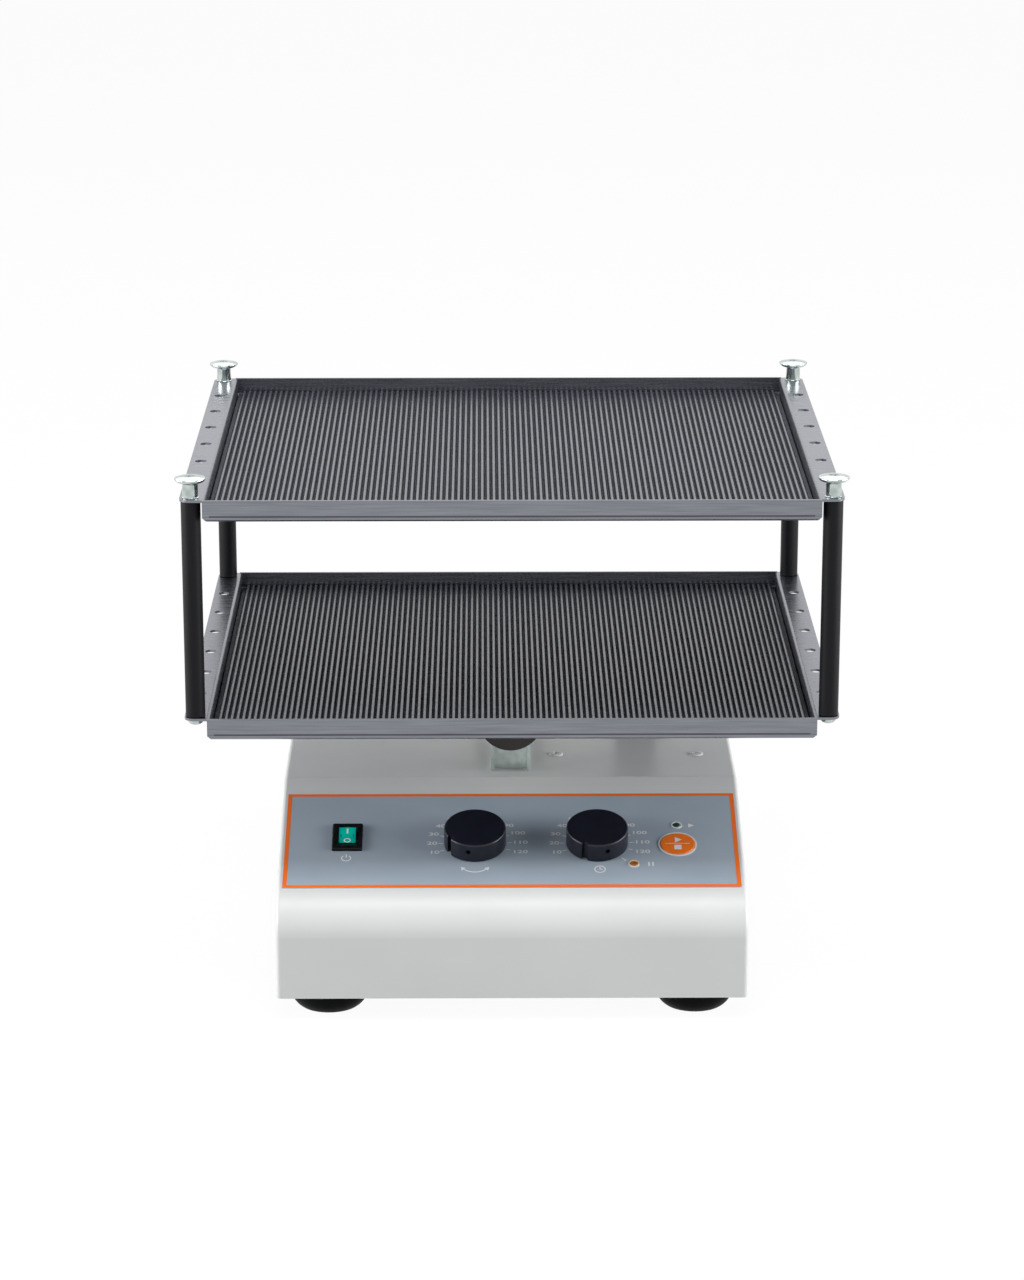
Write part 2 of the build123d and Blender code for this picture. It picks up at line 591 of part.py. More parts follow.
def drive_bracket():
    """A plate under the top cover whose middle is folded down to carry the gearbox."""
    top = TOP_Z - SHEET
    half = BRACKET_W / 2
    window_back = WEB_Y1 + TOP_SLOT_W + 2 * GROMMET_LIP + 10
    front, rear = WEB_Y0 - BRACKET_FRONT, window_back + BRACKET_REAR
    plate = block(BRACKET_X - half, BRACKET_X + half, front, rear, top - BRACKET_T, top)
    web_half = WEB_W / 2
    plate -= block(DRIVE_X - web_half, DRIVE_X + web_half, WEB_Y1, window_back, top - 10, top + 1)
    web_foot = CRANK_Z - GEARBOX_D / 2 - 5
    web = block(DRIVE_X - web_half, DRIVE_X + web_half, WEB_Y0, WEB_Y1, web_foot, top - BRACKET_T / 2)
    for side in (-1, 1):
        x0, x1 = sorted((DRIVE_X + side * web_half, DRIVE_X + side * (web_half - BRACKET_T)))
        web += block(x0, x1, WEB_Y0 - WEB_FLANGE, WEB_Y1, web_foot, top - BRACKET_T / 2)
    bracket = plate + web
    axis = Pos(DRIVE_X, 0, CRANK_Z)
    bracket -= axis * rod(GEARBOX_BOSS_D / 2 + HOLE_ROOM, WEB_Y0 - 1, WEB_Y1 + 1, "Y")
    for turn in GEARBOX_TURNS:
        hole = rod(M3[2] + HOLE_ROOM, WEB_Y0 - 1, WEB_Y1 + 1, "Y")
        bracket -= axis * Rot(0, turn, 0) * Pos(GEARBOX_SCREW_R, 0, 0) * hole
    for x, y in bracket_screw_places():
        bracket -= Pos(x, y, top) * rod(COVER_SCREW[2] + SEAT, -BRACKET_T - 1, 1)
    return bracket


def drive_pieces():
    write("yoke_plate", yoke_plate())
    write("drive_arm", drive_arm())
    write("slot_grommet", slot_grommet())
    write("drive_bracket", drive_bracket())
    fasteners = []
    for x, z in yoke_screw_places():
        screw = pan_screw(M4, YOKE_T + ARM_T + SCREW_OUT)
        fasteners.append(Pos(x, DRIVE_Y - YOKE_T, z) * Rot(90, 0, 0) * screw)
        nut = hexagon_nut(M4_NUT, M4[2] + SEAT, 0, NUT_H, "Y")
        fasteners.append(Pos(x, DRIVE_Y + ARM_T, z) * nut)
    write("yoke_screws", *fasteners)
    top_screws = []
    for x, y in bracket_screw_places():
        top_screws.append(Pos(x, y, TOP_Z) * pan_screw(COVER_SCREW, SHEET + BRACKET_T + 2))
    write("top_screws", *top_screws)

    axis = Pos(DRIVE_X, 0, CRANK_Z)
    gearbox = rod(GEARBOX_D / 2, WEB_Y0 - GEARBOX_L, WEB_Y0, "Y")
    gearbox += rod(GEARBOX_BOSS_D / 2, WEB_Y0 - 1, WEB_Y1, "Y")
    gearbox -= rod(OUTPUT_SHAFT_D / 2 + FIT, WEB_Y0 - GEARBOX_L + 6, WEB_Y1 + 1, "Y")
    screws = []
    for turn in GEARBOX_TURNS:
        place = Rot(0, turn, 0) * Pos(GEARBOX_SCREW_R, 0, 0)
        gearbox -= place * rod(M3[2] + SEAT, WEB_Y0 - SCREW_OUT - 1, WEB_Y0 + 1, "Y")
        screw = Pos(0, WEB_Y1, 0) * Rot(-90, 0, 0) * pan_screw(M3, BRACKET_T + SCREW_OUT)
        screws.append(axis * place * screw)
    write("gearbox", axis * gearbox)
    write("gearbox_screws", *screws)
    motor_back = WEB_Y0 - GEARBOX_L - MOTOR_L
    motor = rod(MOTOR_D / 2, motor_back, WEB_Y0 - GEARBOX_L, "Y")
    motor = fillet(motor.edges().sort_by(Axis.Y)[0], 3)
    motor += rod(6, motor_back - 3, motor_back + 1, "Y")
    for side in (-1, 1):
        motor += block(side * 11 - 1.5, side * 11 + 1.5, motor_back - 6, motor_back + 1, -0.4, 0.4)
    write("drive_motor", axis * motor)

    shaft = rod(OUTPUT_SHAFT_D / 2, WEB_Y0 - GEARBOX_L + 8, CRANK_Y1, "Y")
    write("output_shaft", axis * shaft)
    throw = Pos(CRANK_R, 0, 0)
    disc = rod(CRANK_D / 2, CRANK_Y0, CRANK_Y1, "Y")
    disc = chamfer(disc.edges().filter_by(GeomType.CIRCLE), 0.5)
    disc -= rod(OUTPUT_SHAFT_D / 2 + SEAT, CRANK_Y0 - 1, CRANK_Y1 + 1, "Y")
    disc -= throw * rod(PIN_D / 2 + SEAT, CRANK_Y0 - 1, CRANK_Y1 + 1, "Y")
    disc -= Pos(0, (CRANK_Y0 + CRANK_Y1) / 2, 0) * Rot(0, 180, 0) * rod(1.6, 3, CRANK_D, "X")
    write("crank_disc", axis * disc)
    roller_y0 = DRIVE_Y - YOKE_T / 2 - ROLLER_W / 2
    roller_y1 = roller_y0 + ROLLER_W
    pin = rod(PIN_D / 2, CRANK_Y0, roller_y1, "Y") + rod(PIN_D / 2 + 1.5, CRANK_Y1, roller_y0, "Y")
    pin += rod(PIN_D / 2 + 1.2, roller_y1, roller_y1 + 1.4, "Y")
    write("crank_pin", axis * throw * pin)
    write("crank_roller", axis * throw * tube(ROLLER_D / 2, PIN_D / 2 + SEAT, roller_y0, roller_y1, "Y"))


# ---------------------------------------------------------------- housing
def housing_face(inset=0.0):
    """The side profile of the housing, or of its inside at a sheet's depth."""
    front, back, top = FRONT_Y + inset, BACK_Y - inset, TOP_Z - inset
    drop = inset / cos(SLOPE)
    corner = (front, TOP_Z - drop + (front - BEND_Y) * tan(SLOPE))
    bend = (BEND_Y + (drop - inset) / tan(SLOPE), top)
    points = [(front, FOOT_H), corner, bend, (back, top), (back, FOOT_H)]
    face = make_face(Plane.YZ * Polyline(*points, close=True))
    for (y, z), radius in ((corner, NOSE_R), (bend, BEND_R), ((back, top), BACK_R)):
        vertex = face.vertices().sort_by_distance((0, y, z))[0]
        face = fillet(vertex, radius - inset)
    return face


def panel_cutouts():
    """Tools that cut the openings of the controls through the sheet or the overlay."""
    deep = 8
    switch = on_panel(SWITCH_U, SWITCH_V) * Box(SWITCH_BODY_W + 0.4, SWITCH_BODY_L + 0.4, deep)
    knobs = [on_panel(u, KNOB_V) * Cylinder(POT_THREAD_D / 2 + 0.1, deep) for u in (SPEED_U, TIME_U)]
    leds = [
        on_panel(u, v) * Cylinder(LED_D / 2 + 0.1, deep) for u, v in ((RUN_U, RUN_V), (HOLD_U, HOLD_V))
    ]
    button = on_panel(BUTTON_U, BUTTON_V) * Cylinder(BUTTON_D / 2 + BUTTON_GAP, deep)
    return [switch, *knobs, *leds, button]


def base_screw_places():
    x = HOUSING_W / 2 - SHEET - RETURN_W / 2
    edge = SHEET + RETURN_W / 2
    sides = [(side * x, y) for side in (-1, 1) for y in (FRONT_Y + BASE_SCREW_Y, BACK_Y - BASE_SCREW_Y)]
    return sides + [(0, FRONT_Y + edge), (0, BACK_Y - edge)]


def inlet_screw_places():
    return [(INLET_X + side * INLET_SCREW_PITCH / 2, INLET_Z) for side in (-1, 1)]


def housing_shell():
    """The folded cover: front, sloping panel, top, back and sides, with a return along the bottom."""
    half = HOUSING_W / 2
    outer = extrude(housing_face(), half, both=True)
    rounds = [
        e for e in outer.edges() if abs(abs(e.center().X) - half) < 0.01 and e.center().Z > FOOT_H + 1
    ]
    outer = fillet(rounds, SIDE_R)
    inner = extrude(housing_face(SHEET), half - SHEET, both=True)
    shell = outer - inner
    room_y0, room_y1 = FRONT_Y + SHEET, BACK_Y - SHEET
    room_x = half - SHEET
    lip = FLOOR_Z
    free_x, free_y0, free_y1 = room_x - RETURN_W, room_y0 + RETURN_W, room_y1 - RETURN_W
    ledge = block(-room_x, room_x, room_y0, room_y1, lip, lip + SHEET)
    shell += ledge - block(-free_x, free_x, free_y0, free_y1, lip - 1, lip + SHEET + 1)
    for cutter in panel_cutouts():
        shell -= cutter
    slot = extrude(SlotOverall(TOP_SLOT_L, TOP_SLOT_W), 3 * SHEET)
    shell -= Pos(DRIVE_X, TOP_SLOT_Y, TOP_Z - 2 * SHEET) * slot
    for y in stud_rows():
        shell -= Pos(0, y, TOP_Z) * rod(STUD_D / 2 + HOLE_ROOM, -2 * SHEET, 1)
    for x, y in bracket_screw_places():
        shell -= Pos(x, y, TOP_Z) * rod(COVER_SCREW[2] + SEAT, -2 * SHEET, 1)
    for x, y in base_screw_places():
        shell -= Pos(x, y, lip) * rod(BASE_SCREW[2] + HOLE_ROOM, -1, 2 * SHEET)
    hole_w, hole_h = INLET_W + 0.4, INLET_H + 0.4
    shell -= Pos(INLET_X, BACK_Y, INLET_Z) * Box(hole_w, 6, hole_h)
    for x, z in inlet_screw_places():
        shell -= Pos(x, 0, z) * rod(1.6, BACK_Y - 5, BACK_Y + 5, "Y")
    return shell


def rubber_foot():
    """A round foot with a domed side and a recess for its screw in the sole."""
    r, sole, band = FOOT_D / 2, FOOT_SOLE_D / 2, FOOT_H - FOOT_BAND
    rise = Line((r, FOOT_H), (r, band))
    dome = TangentArc((r, band), (sole, 0), tangent=(0, -1))
    rest = Polyline((sole, 0), (0, 0), (0, FOOT_H), (r, FOOT_H))
    foot = revolve(make_face(Plane.XZ * (rise + dome + rest)), Axis.Z)
    foot -= rod(FOOT_RECESS_D / 2, -1, FOOT_RECESS_H)
    return foot - rod(M5[2] + HOLE_ROOM, -1, FOOT_H + 1)


def base_pieces():
    places = [(side * FOOT_X, y) for side in (-1, 1) for y in FOOT_YS]
    room_x = HOUSING_W / 2 - SHEET - BASE_GAP
    room_y0, room_y1 = FRONT_Y + SHEET + BASE_GAP, BACK_Y - SHEET - BASE_GAP
    plate = block(-room_x, room_x, room_y0, room_y1, FOOT_H, FLOOR_Z)
    for x, y in places:
        plate -= Pos(x, y, FOOT_H) * rod(M5[2] + HOLE_ROOM, -1, 2 * SHEET)
    for x, y in base_screw_places():
        plate -= Pos(x, y, FOOT_H) * rod(BASE_SCREW[2] + HOLE_ROOM, -1, 2 * SHEET)
    write("base_plate", plate)
    write("rubber_feet", *[Pos(x, y, 0) * rubber_foot() for x, y in places])
    foot_screws = []
    for x, y in places:
        length = FOOT_H - FOOT_RECESS_H + SHEET + SCREW_OUT
        foot_screws.append(Pos(x, y, FOOT_RECESS_H) * pan_screw(M5, length, flip=True))
        foot_screws.append(Pos(x, y, FLOOR_Z) * hexagon_nut(M5_NUT, M5[2] + SEAT, 0, NUT_H))
    write("foot_screws", *foot_screws)
    base_screw = pan_screw(BASE_SCREW, 2 * SHEET + SCREW_OUT, flip=True)
    write("base_screws", *[Pos(x, y, FOOT_H) * base_screw for x, y in base_screw_places()])


# ---------------------------------------------------------------- control panel
def panel_overlay():
    sheet = extrude(fillet(Rectangle(OVERLAY_W, OVERLAY_L).vertices(), 0.8), OVERLAY_T)
    overlay = on_panel(0, OVERLAY_V0 + OVERLAY_L / 2) * sheet
    for cutter in panel_cutouts():
        overlay -= cutter
    return overlay


def switch_frame():
    """The switch body with a raised rim, a well for the rocker and three blades behind."""
    rim = extrude(fillet(Rectangle(SWITCH_W, SWITCH_L).vertices(), 1.2), SWITCH_RIM)
    rim = Pos(0, 0, OVERLAY_T) * fillet(rim.edges().group_by(Axis.Z)[-1], 0.8)
    floor = OVERLAY_T - SWITCH_BODY_H
    body = block(
        -SWITCH_BODY_W / 2, SWITCH_BODY_W / 2, -SWITCH_BODY_L / 2, SWITCH_BODY_L / 2, floor, OVERLAY_T + 1
    )
    well_w, well_l = ROCKER_W + 2 * ROCKER_GAP, ROCKER_L + 4 * ROCKER_GAP
    well_floor = ROCKER_AXIS_H - 6
    well = block(-well_w / 2, well_w / 2, -well_l / 2, well_l / 2, well_floor, OVERLAY_T + SWITCH_RIM + 1)
    frame = rim + body - well
    frame -= Pos(0, 0, ROCKER_AXIS_H) * rod(TRUNNION_D / 2 + FIT, -well_w / 2 - 1, well_w / 2 + 1, "X")
    for y in (-7, 0, 7):
        frame += block(-2.4, 2.4, y - 0.4, y + 0.4, floor - 8, floor + 1)
    return on_panel(SWITCH_U, SWITCH_V) * frame


def power_rocker():
    """The rocker on its trunnions, tipped so that its lower end is pressed."""
    half = ROCKER_L / 2
    rise = half * tan(radians(ROCKER_TILT))
    top = ROCKER_TOP - rise / 2
    side = Polyline(
        (-4.0, -3.0), (-half, 0), (-half, top + rise), (0, top), (half, top + rise), (half, 0), (4.0, -3.0)
    )
    keel = ThreePointArc((4.0, -3.0), (0, -5.0), (-4.0, -3.0))
    profile = make_face(Plane.YZ * (side + keel))
    rocker = extrude(profile, ROCKER_W / 2, both=True)
    reach = ROCKER_W / 2 + ROCKER_GAP + 0.8
    rocker += rod(TRUNNION_D / 2, -reach, reach, "X")
    return on_panel(SWITCH_U, SWITCH_V, ROCKER_AXIS_H) * Rot(ROCKER_TILT, 0, 0) * rocker


def knob(mark):
    """A round cap with a pointer groove in its side, a set screw hole and a hub on the shaft."""
    low = OVERLAY_T + KNOB_GAP
    high = low + KNOB_H
    outer_r = KNOB_D / 2
    cap = rod(outer_r, low, high)
    cap = fillet(cap.edges().sort_by(Axis.Z)[-1], KNOB_EDGE)
    cap -= rod(outer_r - KNOB_WALL, low - 1, high - KNOB_TOP)
    hub_low = low + 4.6
    cap += rod(KNOB_HUB_D / 2, hub_low, high - KNOB_TOP / 2)
    cap -= rod(POT_SHAFT_D / 2 + SEAT, low, high - KNOB_TOP + 0.6)
    groove = block(outer_r - NOTCH_DEPTH, outer_r + 2, -NOTCH_W / 2, NOTCH_W / 2, low - 1, high + 1)
    cap -= Rot(0, 0, mark) * groove
    hole = Pos(0, 0, (hub_low + high - KNOB_TOP) / 2) * rod(SET_SCREW_D / 2, 4, outer_r + 1, "X")
    return cap - Rot(0, 0, mark + SET_SCREW_TURN) * hole


def pot_shaft():
    return rod(POT_SHAFT_D / 2, BOARD_TOP + 3, OVERLAY_T + KNOB_GAP + KNOB_H - KNOB_TOP + 0.4)


def potentiometer():
    """A panel potentiometer: can, threaded nose through the panel, and its nut."""
    nose_top = OVERLAY_T + 4
    can = fillet(rod(POT_D / 2, BOARD_TOP, -SHEET).edges().sort_by(Axis.Z)[0], 0.8)
    can += rod(POT_THREAD_D / 2, -SHEET - 1, nose_top)
    can -= rod(POT_SHAFT_D / 2 + FIT, BOARD_TOP + 2, nose_top + 1)
    return can, hexagon_nut(POT_NUT, POT_THREAD_D / 2 + SEAT, OVERLAY_T, OVERLAY_T + 2)


def led():
    """A round LED: domed lens, collar behind the sheet and two legs to the board."""
    lens = rod(LED_D / 2, -SHEET - 4, OVERLAY_T + 0.8)
    lens = fillet(lens.edges().sort_by(Axis.Z)[-1], 1.2)
    lens += rod(LED_D / 2 + 0.4, -SHEET - 5, -SHEET - 4)
    for side in (-1, 1):
        lens += block(side * 1.27 - 0.3, side * 1.27 + 0.3, -0.3, 0.3, BOARD_TOP, -SHEET - 4.5)
    return lens


def start_button():
    """A round push button: cap through the panel, a stop lip behind it and a stem to its switch."""
    cap = rod(BUTTON_D / 2, -SHEET - 1.2, OVERLAY_T + BUTTON_RISE)
    cap = fillet(cap.edges().sort_by(Axis.Z)[-1], 0.5)
    cap += rod(BUTTON_D / 2 + 1.4, -SHEET - 1.4, -SHEET - 0.3)
    return cap + rod(2, tact_top() + BUTTON_TRAVEL + 0.1, -SHEET - 1)


def tact_top():
    return BOARD_TOP + 4.6


def control_board():
    """The circuit board behind the panel, with its parts on the far side."""
    board = block(BOARD_U0, BOARD_U1, -BOARD_V1, -BOARD_V0, BOARD_TOP - BOARD_T, BOARD_TOP)
    low = BOARD_TOP - BOARD_T
    chip = ((SPEED_U + TIME_U) / 2, KNOB_V, CHIP_W, CHIP_L, CHIP_H)
    row = BOARD_V0 + TERMINAL_INSET
    terminals = [(u, row, TERMINAL_W, TERMINAL_L, TERMINAL_H) for u in (SPEED_U, TIME_U)]
    for u, v, w, d, h in (chip, *terminals):
        board += block(u - w / 2, u + w / 2, -v - d / 2, -v + d / 2, low - h, low + SEAT)
    return PANEL.location * board


def control_pieces():
    write("panel_overlay", panel_overlay())
    write("switch_frame", switch_frame())
    write("power_rocker", power_rocker())
    pots = []
    for name, u, mark in (("speed", SPEED_U, SPEED_MARK), ("time", TIME_U, TIME_MARK)):
        place = on_panel(u, KNOB_V)
        write(f"{name}_knob", place * knob(mark))
        write(f"{name}_shaft", place * pot_shaft())
        pots += [place * piece for piece in potentiometer()]
    write("potentiometers", *pots)
    rings = []
    for name, u, v in (("run", RUN_U, RUN_V), ("hold", HOLD_U, HOLD_V)):
        write(f"{name}_led", on_panel(u, v) * led())
        rings.append(on_panel(u, v) * tube(LED_RING_D / 2, LED_D / 2 + 0.1, OVERLAY_T, OVERLAY_T + 0.4))
    write("led_rings", *rings)
    place = on_panel(BUTTON_U, BUTTON_V)
    write("start_button", place * start_button())
    ring = tube(BUTTON_RING_D / 2, BUTTON_D / 2 + BUTTON_GAP, OVERLAY_T, OVERLAY_T + 0.4)
    write("start_button_ring", place * ring)
    tact = Pos(0, 0, BOARD_TOP + 1.75) * Box(6, 6, 3.5) + rod(1.75, BOARD_TOP + 3, tact_top())
    write("tact_switch", place * tact)
    write("control_board", control_board())


# ---------------------------------------------------------------- power supply and inlet
def pillar_places():
    return [
        (SUPPLY_X + sx * (SUPPLY_W / 2 - PILLAR_INSET), SUPPLY_Y + sy * (SUPPLY_L / 2 - PILLAR_INSET))
        for sx in (-1, 1)
        for sy in (-1, 1)
    ]


def supply_board():
    """The power supply board: heat sink, capacitors and a relay."""
    low = FLOOR_Z + SUPPLY_RISE
    top = low + BOARD_T
    board = Pos(SUPPLY_X, SUPPLY_Y, low + BOARD_T / 2) * Box(SUPPLY_W, SUPPLY_L, BOARD_T)
    sink_x = SUPPLY_X - SUPPLY_W / 2 + SINK_INSET
    sink_w = FIN_PITCH * (FINS - 1) + FIN_T
    y0, y1 = SUPPLY_Y - FIN_L / 2, SUPPLY_Y + FIN_L / 2
    board += block(sink_x, sink_x + sink_w, y0, y1, top - SEAT, top + SINK_T)
    for i in range(FINS):
        x = sink_x + FIN_PITCH * i
        board += block(x, x + FIN_T, y0, y1, top - SEAT, top + FIN_H)
    for step in (-1, 0, 1):
        place = Pos(SUPPLY_X + SUPPLY_W / 2 - CAPACITOR_INSET, SUPPLY_Y + step * CAPACITOR_PITCH, top)
        board += place * rod(CAPACITOR_D / 2, -SEAT, CAPACITOR_H)
    return board


def transformer():
    """A small laminated transformer on two feet."""
    window_w, window_h = CORE_W / 6, CORE_H - 12
    core = Box(CORE_W, CORE_T, CORE_H)
    for side in (-1, 1):
        core -= Pos(side * CORE_W / 4, 0, 0) * Box(window_w, CORE_T + 2, window_h)
    coil = Box(CORE_W * 2 / 3 - 1, CORE_T + 14, window_h - 1)
    coil = fillet(coil.edges().filter_by(Axis.Z), 4)
    body = core + coil
    body += Pos(0, 0, -CORE_H / 2 - 1) * Box(CORE_W + 2 * TRANSFORMER_EAR, CORE_T - 4, 2)
    return Pos(TRANSFORMER_X, TRANSFORMER_Y, FLOOR_Z + CORE_H / 2 + 2) * body


def inlet_levels():
    """Heights of the drawer bay and the socket in the inlet: bay floor, bay top, socket floor, top."""
    bay = -INLET_H / 2 + INLET_WALL
    socket = bay + DRAWER_H + INLET_WALL
    return bay, bay + DRAWER_H, socket, socket + SOCKET_H


def inlet_pin_places():
    bay, bay_top, socket, socket_top = inlet_levels()
    middle = (socket + socket_top) / 2
    sides = [(side * PIN_GAP, middle - PIN_STEP, PIN_L) for side in (-1, 1)]
    return sides + [(0.0, middle + PIN_STEP, EARTH_PIN_L)]


def inlet_pieces():
    face_y = BACK_Y + INLET_FLANGE_T
    back = BACK_Y - INLET_DEPTH
    bay, bay_top, socket, socket_top = inlet_levels()
    room = INLET_W / 2 - INLET_WALL
    flange = extrude(fillet(Rectangle(INLET_FLANGE_W, INLET_FLANGE_H).vertices(), 5), INLET_FLANGE_T)
    body = Pos(0, face_y, 0) * Rot(90, 0, 0) * flange
    body += block(-INLET_W / 2, INLET_W / 2, back, BACK_Y + 0.5, -INLET_H / 2, INLET_H / 2)
    hollow = block(-room, room, back + INLET_BACK, face_y + 1, socket, socket_top)
    upper = [
        e
        for e in hollow.edges().filter_by(Axis.Y)
        if e.center().Z > (socket + socket_top) / 2
    ]
    body -= chamfer(upper, 4)
    body -= block(-room, room, back + 2, face_y + 1, bay, bay_top)
    for x, z, _ in inlet_pin_places():
        half_w, half_h = PIN_W / 2 + SEAT, PIN_H / 2 + SEAT
        body -= block(x - half_w, x + half_w, back - 1, back + INLET_BACK + 1, z - half_h, z + half_h)
    for x, z in inlet_screw_places():
        body -= Pos(x - INLET_X, 0, z - INLET_Z) * rod(1.6, BACK_Y - 1, face_y + 1, "Y")
    place = Pos(INLET_X, 0, INLET_Z)
    write("mains_inlet", place * body)
    pins = []
    for x, z, length in inlet_pin_places():
        reach = back + INLET_BACK + length
        half_w, half_h = PIN_W / 2, PIN_H / 2
        pins.append(place * block(x - half_w, x + half_w, back - TAIL_L, reach, z - half_h, z + half_h))
    write("inlet_pins", *pins)
    screw = Rot(-90, 0, 0) * pan_screw(M3, INLET_FLANGE_T + SHEET + SCREW_OUT)
    nut = hexagon_nut(M3_NUT, M3[2] + SEAT, -SHEET - 2.4, -SHEET, "Y")
    fasteners = []
    for x, z in inlet_screw_places():
        fasteners += [Pos(x, face_y, z) * screw, Pos(x, BACK_Y, z) * nut]
    write("inlet_screws", *fasteners)
    gap = DRAWER_GAP
    drawer = block(-room + gap, room - gap, back + 2 + gap, face_y, bay + gap, bay_top - gap)
    drawer -= block(-room + 3, room - 3, back + 6, face_y - 3, bay + 2, bay_top + 1)
    drawer += block(-room - 0.6, room + 0.6, face_y, face_y + DRAWER_LIP, bay - 0.4, bay_top + 0.4)
    drawer -= Pos(0, face_y + DRAWER_LIP, bay_top) * rod(4, -3, 3, "Z")
    write("fuse_drawer", place * drawer)


def supply_pieces():
    write("supply_board", supply_board())
    write("transformer", transformer())
    pillars = [Pos(x, y, FLOOR_Z) * rod(PILLAR_D / 2, 0, SUPPLY_RISE) for x, y in pillar_places()]
    for u in (BOARD_U0 + PILLAR_INSET, BOARD_U1 - PILLAR_INSET):
        for v in (BOARD_V0 + PILLAR_INSET, BOARD_V1 - PILLAR_INSET):
            pillars.append(on_panel(u, v) * rod(PILLAR_D / 2, BOARD_TOP, -SHEET))
    write("board_pillars", *pillars)
    inlet_pieces()


# ---------------------------------------------------------------- build
os.makedirs("parts", exist_ok=True)
platform_pieces()
pivot_pieces()
drive_pieces()
write("housing_shell", housing_shell())
base_pieces()
control_pieces()
supply_pieces()
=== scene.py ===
"""Looks of a rocking platform shaker: two ribbed trays on a pivot over an enamelled housing.

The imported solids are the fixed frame. This script gives each of them its finish, replaces the mats, the
thumb screws and the small visible fasteners by finer meshes, and prints the control panel.
"""

import logging
import math
from collections.abc import Callable
from dataclasses import dataclass
from enum import Enum

import bmesh
import bpy
from mathutils import Matrix, Vector


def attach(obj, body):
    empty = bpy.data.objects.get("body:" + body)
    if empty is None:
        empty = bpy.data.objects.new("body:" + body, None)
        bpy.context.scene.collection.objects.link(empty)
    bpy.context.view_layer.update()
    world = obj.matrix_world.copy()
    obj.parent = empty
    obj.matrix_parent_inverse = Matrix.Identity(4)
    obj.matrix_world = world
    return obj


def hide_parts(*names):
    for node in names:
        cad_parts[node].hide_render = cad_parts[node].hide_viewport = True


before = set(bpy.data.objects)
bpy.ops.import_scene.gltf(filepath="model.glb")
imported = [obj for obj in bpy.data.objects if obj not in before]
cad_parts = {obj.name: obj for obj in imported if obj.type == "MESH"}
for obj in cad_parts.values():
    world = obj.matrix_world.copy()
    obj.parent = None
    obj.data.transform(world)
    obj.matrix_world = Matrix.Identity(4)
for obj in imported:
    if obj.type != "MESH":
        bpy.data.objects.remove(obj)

BMesh = bmesh.types.BMesh
Node = bpy.types.Node
Object = bpy.types.Object
Socket = bpy.types.NodeSocket
Tree = bpy.types.NodeTree
Point = tuple[float, float]
Points = list[Point]
Radius = float | Callable[[float], float]
Profile = list[tuple[Radius, float]]

LOG = logging.getLogger("shaker")
MM = 0.001
WHITE = "#FFFFFF"
NOISE_LOW, NOISE_HIGH = 0.3, 0.7
SHARP_DEG, FASTENER_SHARP_DEG = 32.0, 40.0
LOWER_RIM, UPPER_RIM = 190.0, 321.5
TRAY_H, TRAY_SHEET = 13.0, 1.5
SQUARE = ((-1, -1), (1, -1), (1, 1), (-1, 1))
CORNERS = {"front_left": (-1, -1), "front_right": (1, -1), "rear_left": (-1, 1), "rear_right": (1, 1)}


class Body(Enum):
    """The bodies that new pieces ride on."""

    BASE = "base"
    PLATFORM = "platform"
    ROCKER = "rocker"
    BUTTON = "button"


class Grain(Enum):
    """The direction along which a metal was brushed or drawn, as a stretch of the pattern's axes."""

    ALONG_X = (0.02, 1.0, 1.0)
    ALONG_Z = (1.0, 1.0, 0.02)


# ---------------- materials
def linear(code: str) -> tuple[float, float, float, float]:
    """Turns an sRGB hex value into Blender's linear colour.

    Args:
        code: The colour as six hex digits, with or without a hash.

    Returns:
        Red, green, blue and an alpha of 1.
    """
    digits = code.lstrip("#")
    parts = [int(digits[i : i + 2], 16) / 255 for i in (0, 2, 4)]
    turned = [c / 12.92 if c <= 0.04045 else ((c + 0.055) / 1.055) ** 2.4 for c in parts]
    return (*turned, 1.0)


def add(tree: Tree, kind: str, links: dict[str | int, object] | None = None, **settings: object) -> Node:
    """Adds a node with its settings and its input links.

    Args:
        tree: The node tree that gets the node.
        kind: The node's type, such as ShaderNodeTexNoise.
        links: Input names or numbers, each with the socket that feeds it or with a constant value.
        **settings: Properties of the node itself.

    Returns:
        The new node.
    """
    node = tree.nodes.new(kind)
    for key, value in settings.items():
        setattr(node, key, value)
    for key, source in (links or {}).items():
        if isinstance(source, Socket):
            tree.links.new(source, node.inputs[key])
        else:
            node.inputs[key].default_value = source
    return node


def ramp(tree: Tree, factor: Socket, *stops: tuple[float, str]) -> Socket:
    """Turns a factor into a colour.

    Args:
        tree: The node tree.
        factor: The socket that picks the place on the ramp.
        *stops: Places from 0 to 1, each with a hex colour.

    Returns:
        The ramp's colour output.
    """
    node = add(tree, "ShaderNodeValToRGB", {"Fac": factor})
    elements = node.color_ramp.elements
    while len(elements) < len(stops):
        elements.new(0.5)
    for element, (place, code) in zip(elements, stops):
        element.position = place
        element.color = linear(code)
    return node.outputs["Color"]


